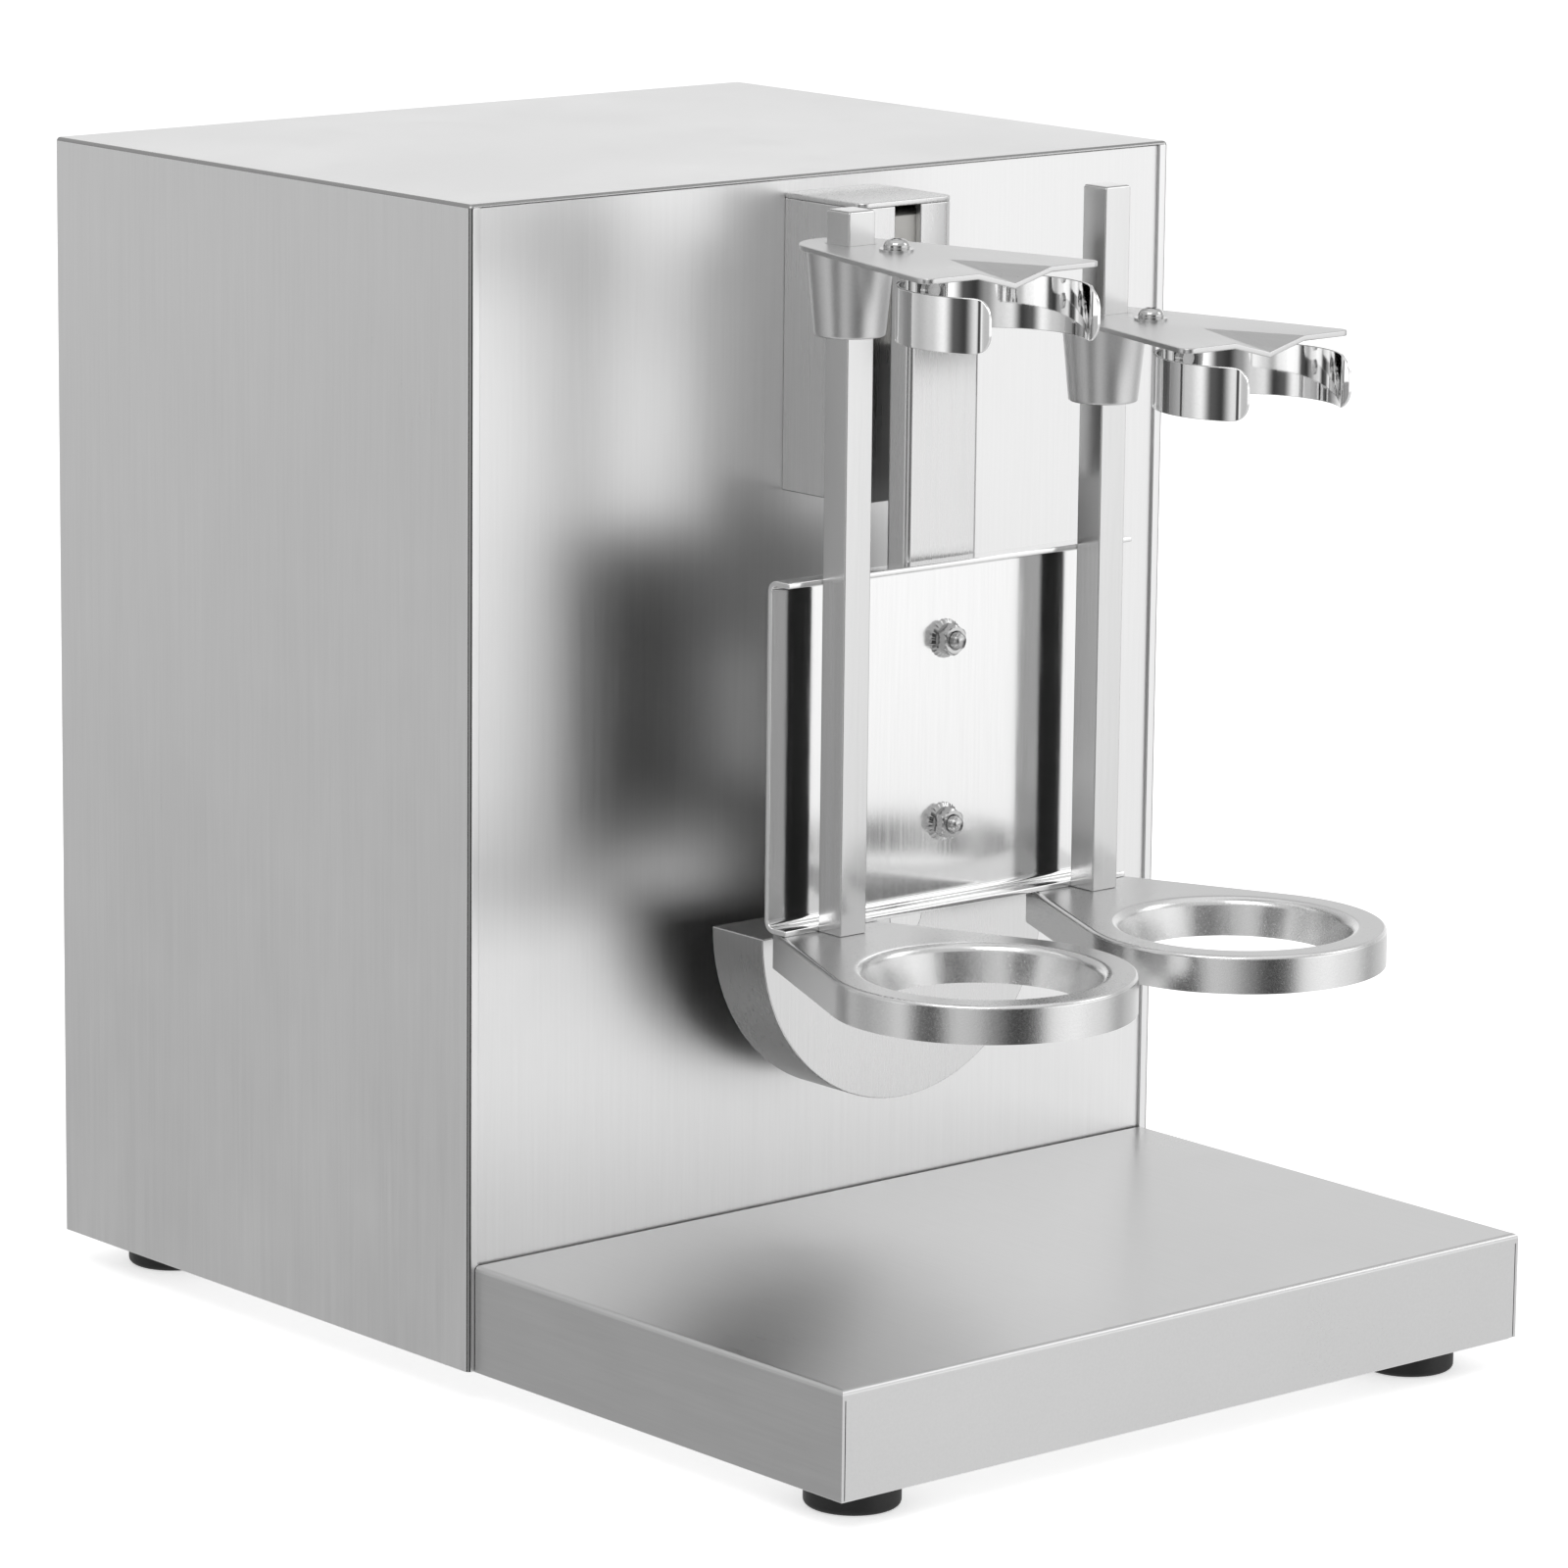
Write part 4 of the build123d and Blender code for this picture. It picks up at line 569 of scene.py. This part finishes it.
def make_dial_marks():
    """Raised ticks round the speed knob, long ones at the ends and the middle of its turn."""
    low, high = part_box("speed_knob")
    middle = (low + high) / 2
    panel_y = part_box("rear_panel")[1].y
    radius = (high.x - low.x) / 2
    bm = bmesh.new()
    for n in range(DIAL_MARKS):
        angle = math.radians(90 - DIAL_TURN / 2 + DIAL_TURN / (DIAL_MARKS - 1) * n)
        long = n % 5 == 0
        length = MARK_LONG if long else MARK_SHORT
        out = Vector((math.cos(angle), 0, math.sin(angle)))
        side = Vector((-out.z, 0, out.x))
        centre = Vector((middle.x, panel_y + MARK_T / 2, middle.z)) + out * (radius + MARK_GAP + length / 2)
        for v in bmesh.ops.create_cube(bm, size=1.0)["verts"]:
            x, y, z = v.co
            v.co = centre + out * x * length + side * y * MARK_W + Vector((0, 1, 0)) * z * MARK_T
    bmesh.ops.bevel(bm, geom=list(bm.edges), offset=MARK_EDGE, segments=2, profile=0.5, affect="EDGES")
    bmesh.ops.recalc_face_normals(bm, faces=bm.faces)
    mesh = bpy.data.meshes.new("dial_marks")
    bm.to_mesh(mesh)
    bm.free()
    place_piece("dial_marks", mesh, "cabinet", "black_plastic")


CLIP_T = 1.2 * MM
CLIP_MOUTH = math.radians(52)       # half the opening angle
CLIP_FLARE = math.radians(35)
CLIP_FLARE_R = 5.0 * MM
CLIP_LIP = 2.5 * MM
CLIP_TIP_R = 7.0 * MM
CLIP_EDGE = 0.3 * MM         # rounding of the band's long edges
CLIP_STEPS = 150
CLIP_TIP_STEPS = 20
CLIP_CORNER_POINTS = 4


def clip_point(along, radius):
    """Place and outward side of a point along half of the clip's band, from the middle of its back."""
    bow = radius * (math.pi - CLIP_MOUTH)
    curl = CLIP_FLARE_R * CLIP_FLARE
    angle = min(along, bow) / radius
    place = Vector((radius * math.sin(angle), radius * math.cos(angle)))
    outward = Vector((math.sin(angle), math.cos(angle)))
    if along > bow:
        turn = min(along - bow, curl) / CLIP_FLARE_R
        pivot = place + outward * CLIP_FLARE_R
        heading = angle - turn
        outward = Vector((math.sin(heading), math.cos(heading)))
        place = pivot - outward * CLIP_FLARE_R
    if along > bow + curl:
        place += Vector((outward.y, -outward.x)) * (along - bow - curl)
    return place, outward


def make_spring_clip(side):
    """A bent spring band with rounded tips and broken edges."""
    low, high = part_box("spring_clip_" + side)
    radius = (high.x - low.x - CLIP_T) / 2
    centre = Vector(((low.x + high.x) / 2, high.y - CLIP_T / 2 - radius))
    middle_z = (low.z + high.z) / 2
    full_half = (high.z - low.z) / 2
    length = radius * (math.pi - CLIP_MOUTH) + CLIP_FLARE_R * CLIP_FLARE + CLIP_LIP
    half_path = [(length - CLIP_TIP_R) * n / CLIP_STEPS for n in range(CLIP_STEPS)]
    for n in range(CLIP_TIP_STEPS + 1):
        half_path.append(length - CLIP_TIP_R * (1 - math.sin(math.pi / 2 * n / CLIP_TIP_STEPS)))
    path = [(-1, along) for along in reversed(half_path[1:])] + [(1, along) for along in half_path]
    tip_y = clip_point(length, radius)[0].y
    verts = []
    section = 4 * CLIP_CORNER_POINTS
    for mirror, along in path:
        place, outward = clip_point(along, radius)
        rise = max(0.0, CLIP_TIP_R - (place.y - tip_y))
        half = full_half - CLIP_TIP_R + math.sqrt(max(CLIP_TIP_R ** 2 - rise ** 2, 0.0))
        for corner in range(4):
            out_sign = 1 if corner in (0, 3) else -1
            up_sign = 1 if corner < 2 else -1
            for n in range(CLIP_CORNER_POINTS):
                turn = math.radians(90) * (corner + n / (CLIP_CORNER_POINTS - 1))
                out = out_sign * (CLIP_T / 2 - CLIP_EDGE) + CLIP_EDGE * math.cos(turn)
                up = up_sign * (half - CLIP_EDGE) + CLIP_EDGE * math.sin(turn)
                spot = place + outward * out
                verts.append((centre.x + mirror * spot.x, centre.y + spot.y, middle_z + up))
    faces = skin(len(path), section)
    faces.append(tuple(range(section)))
    faces.append(tuple((len(path) - 1) * section + i for i in range(section)))
    mesh = bpy.data.meshes.new("band")
    mesh.from_pydata(verts, [], faces)
    for polygon in mesh.polygons:
        polygon.use_smooth = True
    name = "spring_clip_" + side
    fine_mesh = join_meshes(name + "_fine", [mesh])
    piece = place_piece(name + "_fine", fine_mesh, BODY_OF[name], SLOT_OF[name], (name,))
    piece.modifiers.new("evened", "WEIGHTED_NORMAL").weight = NORMAL_WEIGHT


make_spring_clip("left")
make_spring_clip("right")
make_plate_fasteners()
make_coil_spring()
make_dial_marks()

# ---------------------------------------------------------------- studio
FLOOR_SIDE = 24.0
FLOOR_GLOW = 0.55           # lifts the floor to white for the camera only
TOWARD_CAMERA = Vector((math.sin(math.radians(CAMERA_AZIMUTH)), -math.cos(math.radians(CAMERA_AZIMUTH)), 0))
RIGHT_OF_CAMERA = Vector((-TOWARD_CAMERA.y, TOWARD_CAMERA.x, 0))

# brightness of the studio round the horizon: 0 and 1 behind the object, 0.5 on the camera's side
RING_OF_LIGHT = [
    (0.00, 1.22), (0.09, 1.12), (0.17, 0.76), (0.225, 0.55), (0.28, 0.72), (0.325, 1.10), (0.365, 0.12),
    (0.40, 0.06), (0.44, 0.95), (0.48, 0.80), (0.52, 0.35), (0.56, 0.05), (0.60, 0.10), (0.645, 1.30),
    (0.70, 1.45), (0.735, 1.25), (0.77, 1.15), (0.83, 0.60), (0.88, 0.90), (0.95, 1.22),
]

# brightness by height, 0 straight down, 0.5 at the horizon and 1 overhead
FADE_BY_HEIGHT = [
    (0.0, 0.80), (0.22, 0.74), (0.31, 0.55), (0.36, 0.60), (0.41, 0.82), (0.46, 1.0),
    (0.54, 0.85), (0.60, 0.74), (0.68, 0.74), (0.86, 0.70), (0.93, 0.95), (1.0, 1.0),
]
# how far the ring's bands give way to an even light, by the same height
STEADY_BY_HEIGHT = [
    (0.0, 1.0), (0.20, 0.6), (0.32, 0.0), (0.62, 0.0), (0.72, 1.0), (1.0, 1.0),
]
STEADY_LIGHT = 0.85


def make_world():
    world = bpy.data.worlds.new("studio")
    bpy.context.scene.world = world
    world.use_nodes = True
    g = Graph(world.node_tree)
    coord = g.add("ShaderNodeTexCoord")
    parts = g.add("ShaderNodeSeparateXYZ", {"Vector": coord.outputs["Generated"]})

    def along(direction):
        dot = g.add("ShaderNodeVectorMath", {0: coord.outputs["Generated"], 1: direction},
                    operation="DOT_PRODUCT")
        return dot.outputs["Value"]

    turn = g.math("ARCTAN2", along(RIGHT_OF_CAMERA), along(TOWARD_CAMERA))
    around = g.spread(turn, 0.0, 1.0, -math.pi, math.pi)
    ring = g.ramp(around, RING_OF_LIGHT)
    height = g.spread(parts.outputs["Z"], 0.0, 1.0, -1.0, 1.0)
    fade = g.ramp(height, FADE_BY_HEIGHT)
    overhead = g.ramp(height, STEADY_BY_HEIGHT)
    steady = g.add("ShaderNodeMix", {"Factor": overhead}, data_type="RGBA")
    g.tree.links.new(ring, steady.inputs[6])
    steady.inputs[7].default_value = (STEADY_LIGHT, STEADY_LIGHT, STEADY_LIGHT, 1.0)
    lit = g.add("ShaderNodeMix", {"Factor": 1.0}, data_type="RGBA", blend_type="MULTIPLY")
    g.tree.links.new(steady.outputs[2], lit.inputs[6])
    g.tree.links.new(fade, lit.inputs[7])
    studio = g.add("ShaderNodeBackground", {"Color": lit.outputs[2], "Strength": 1.0})
    white = g.add("ShaderNodeBackground", {"Color": (1, 1, 1, 1), "Strength": 1.0})
    path = g.add("ShaderNodeLightPath")
    mix = g.add("ShaderNodeMixShader", {0: path.outputs["Is Camera Ray"]})
    g.tree.links.new(studio.outputs[0], mix.inputs[1])
    g.tree.links.new(white.outputs[0], mix.inputs[2])
    g.add("ShaderNodeOutputWorld", {"Surface": mix.outputs[0]})


def make_floor():
    mesh = bpy.data.meshes.new("floor")
    half = FLOOR_SIDE / 2
    corners = [(-half, -half, 0), (half, -half, 0), (half, half, 0), (-half, half, 0)]
    mesh.from_pydata(corners, [], [(0, 1, 2, 3)])
    floor = bpy.data.objects.new("floor", mesh)
    bpy.context.scene.collection.objects.link(floor)
    material, g = new_material("floor")
    grain = noise(g, 3.0, (1, 1, 1), 3.0, 0.5)
    colour = tinted(g, grain, (0.90, 0.90, 0.90), (0.93, 0.93, 0.93))
    matt = g.add("ShaderNodeBsdfDiffuse", {"Color": colour})
    glow = g.add("ShaderNodeEmission", {"Color": (1, 1, 1, 1), "Strength": FLOOR_GLOW})
    both = g.add("ShaderNodeAddShader", {0: matt.outputs[0], 1: glow.outputs[0]})
    path = g.add("ShaderNodeLightPath")
    mix = g.add("ShaderNodeMixShader", {0: path.outputs["Is Camera Ray"]})
    g.tree.links.new(matt.outputs[0], mix.inputs[1])
    g.tree.links.new(both.outputs[0], mix.inputs[2])
    g.add("ShaderNodeOutputMaterial", {"Surface": mix.outputs[0]})
    mesh.materials.append(material)
    floor.visible_glossy = False


def softbox(name, place, width, height, power):
    data = bpy.data.lights.new(name, "AREA")
    data.shape = "RECTANGLE"
    data.size = width
    data.size_y = height
    data.energy = power
    light = bpy.data.objects.new(name, data)
    bpy.context.scene.collection.objects.link(light)
    aim = (CAMERA_TARGET - Vector(place)).to_track_quat("-Z", "Y").to_matrix().to_4x4()
    light.matrix_world = Matrix.Translation(Vector(place)) @ aim


make_world()
make_floor()
softbox("key", (-1.6, -1.0, 2.6), 1.8, 1.4, 14.0)
softbox("fill", (2.2, -1.6, 2.0), 1.4, 1.4, 7.0)
bpy.context.scene.view_settings.view_transform = "Standard"
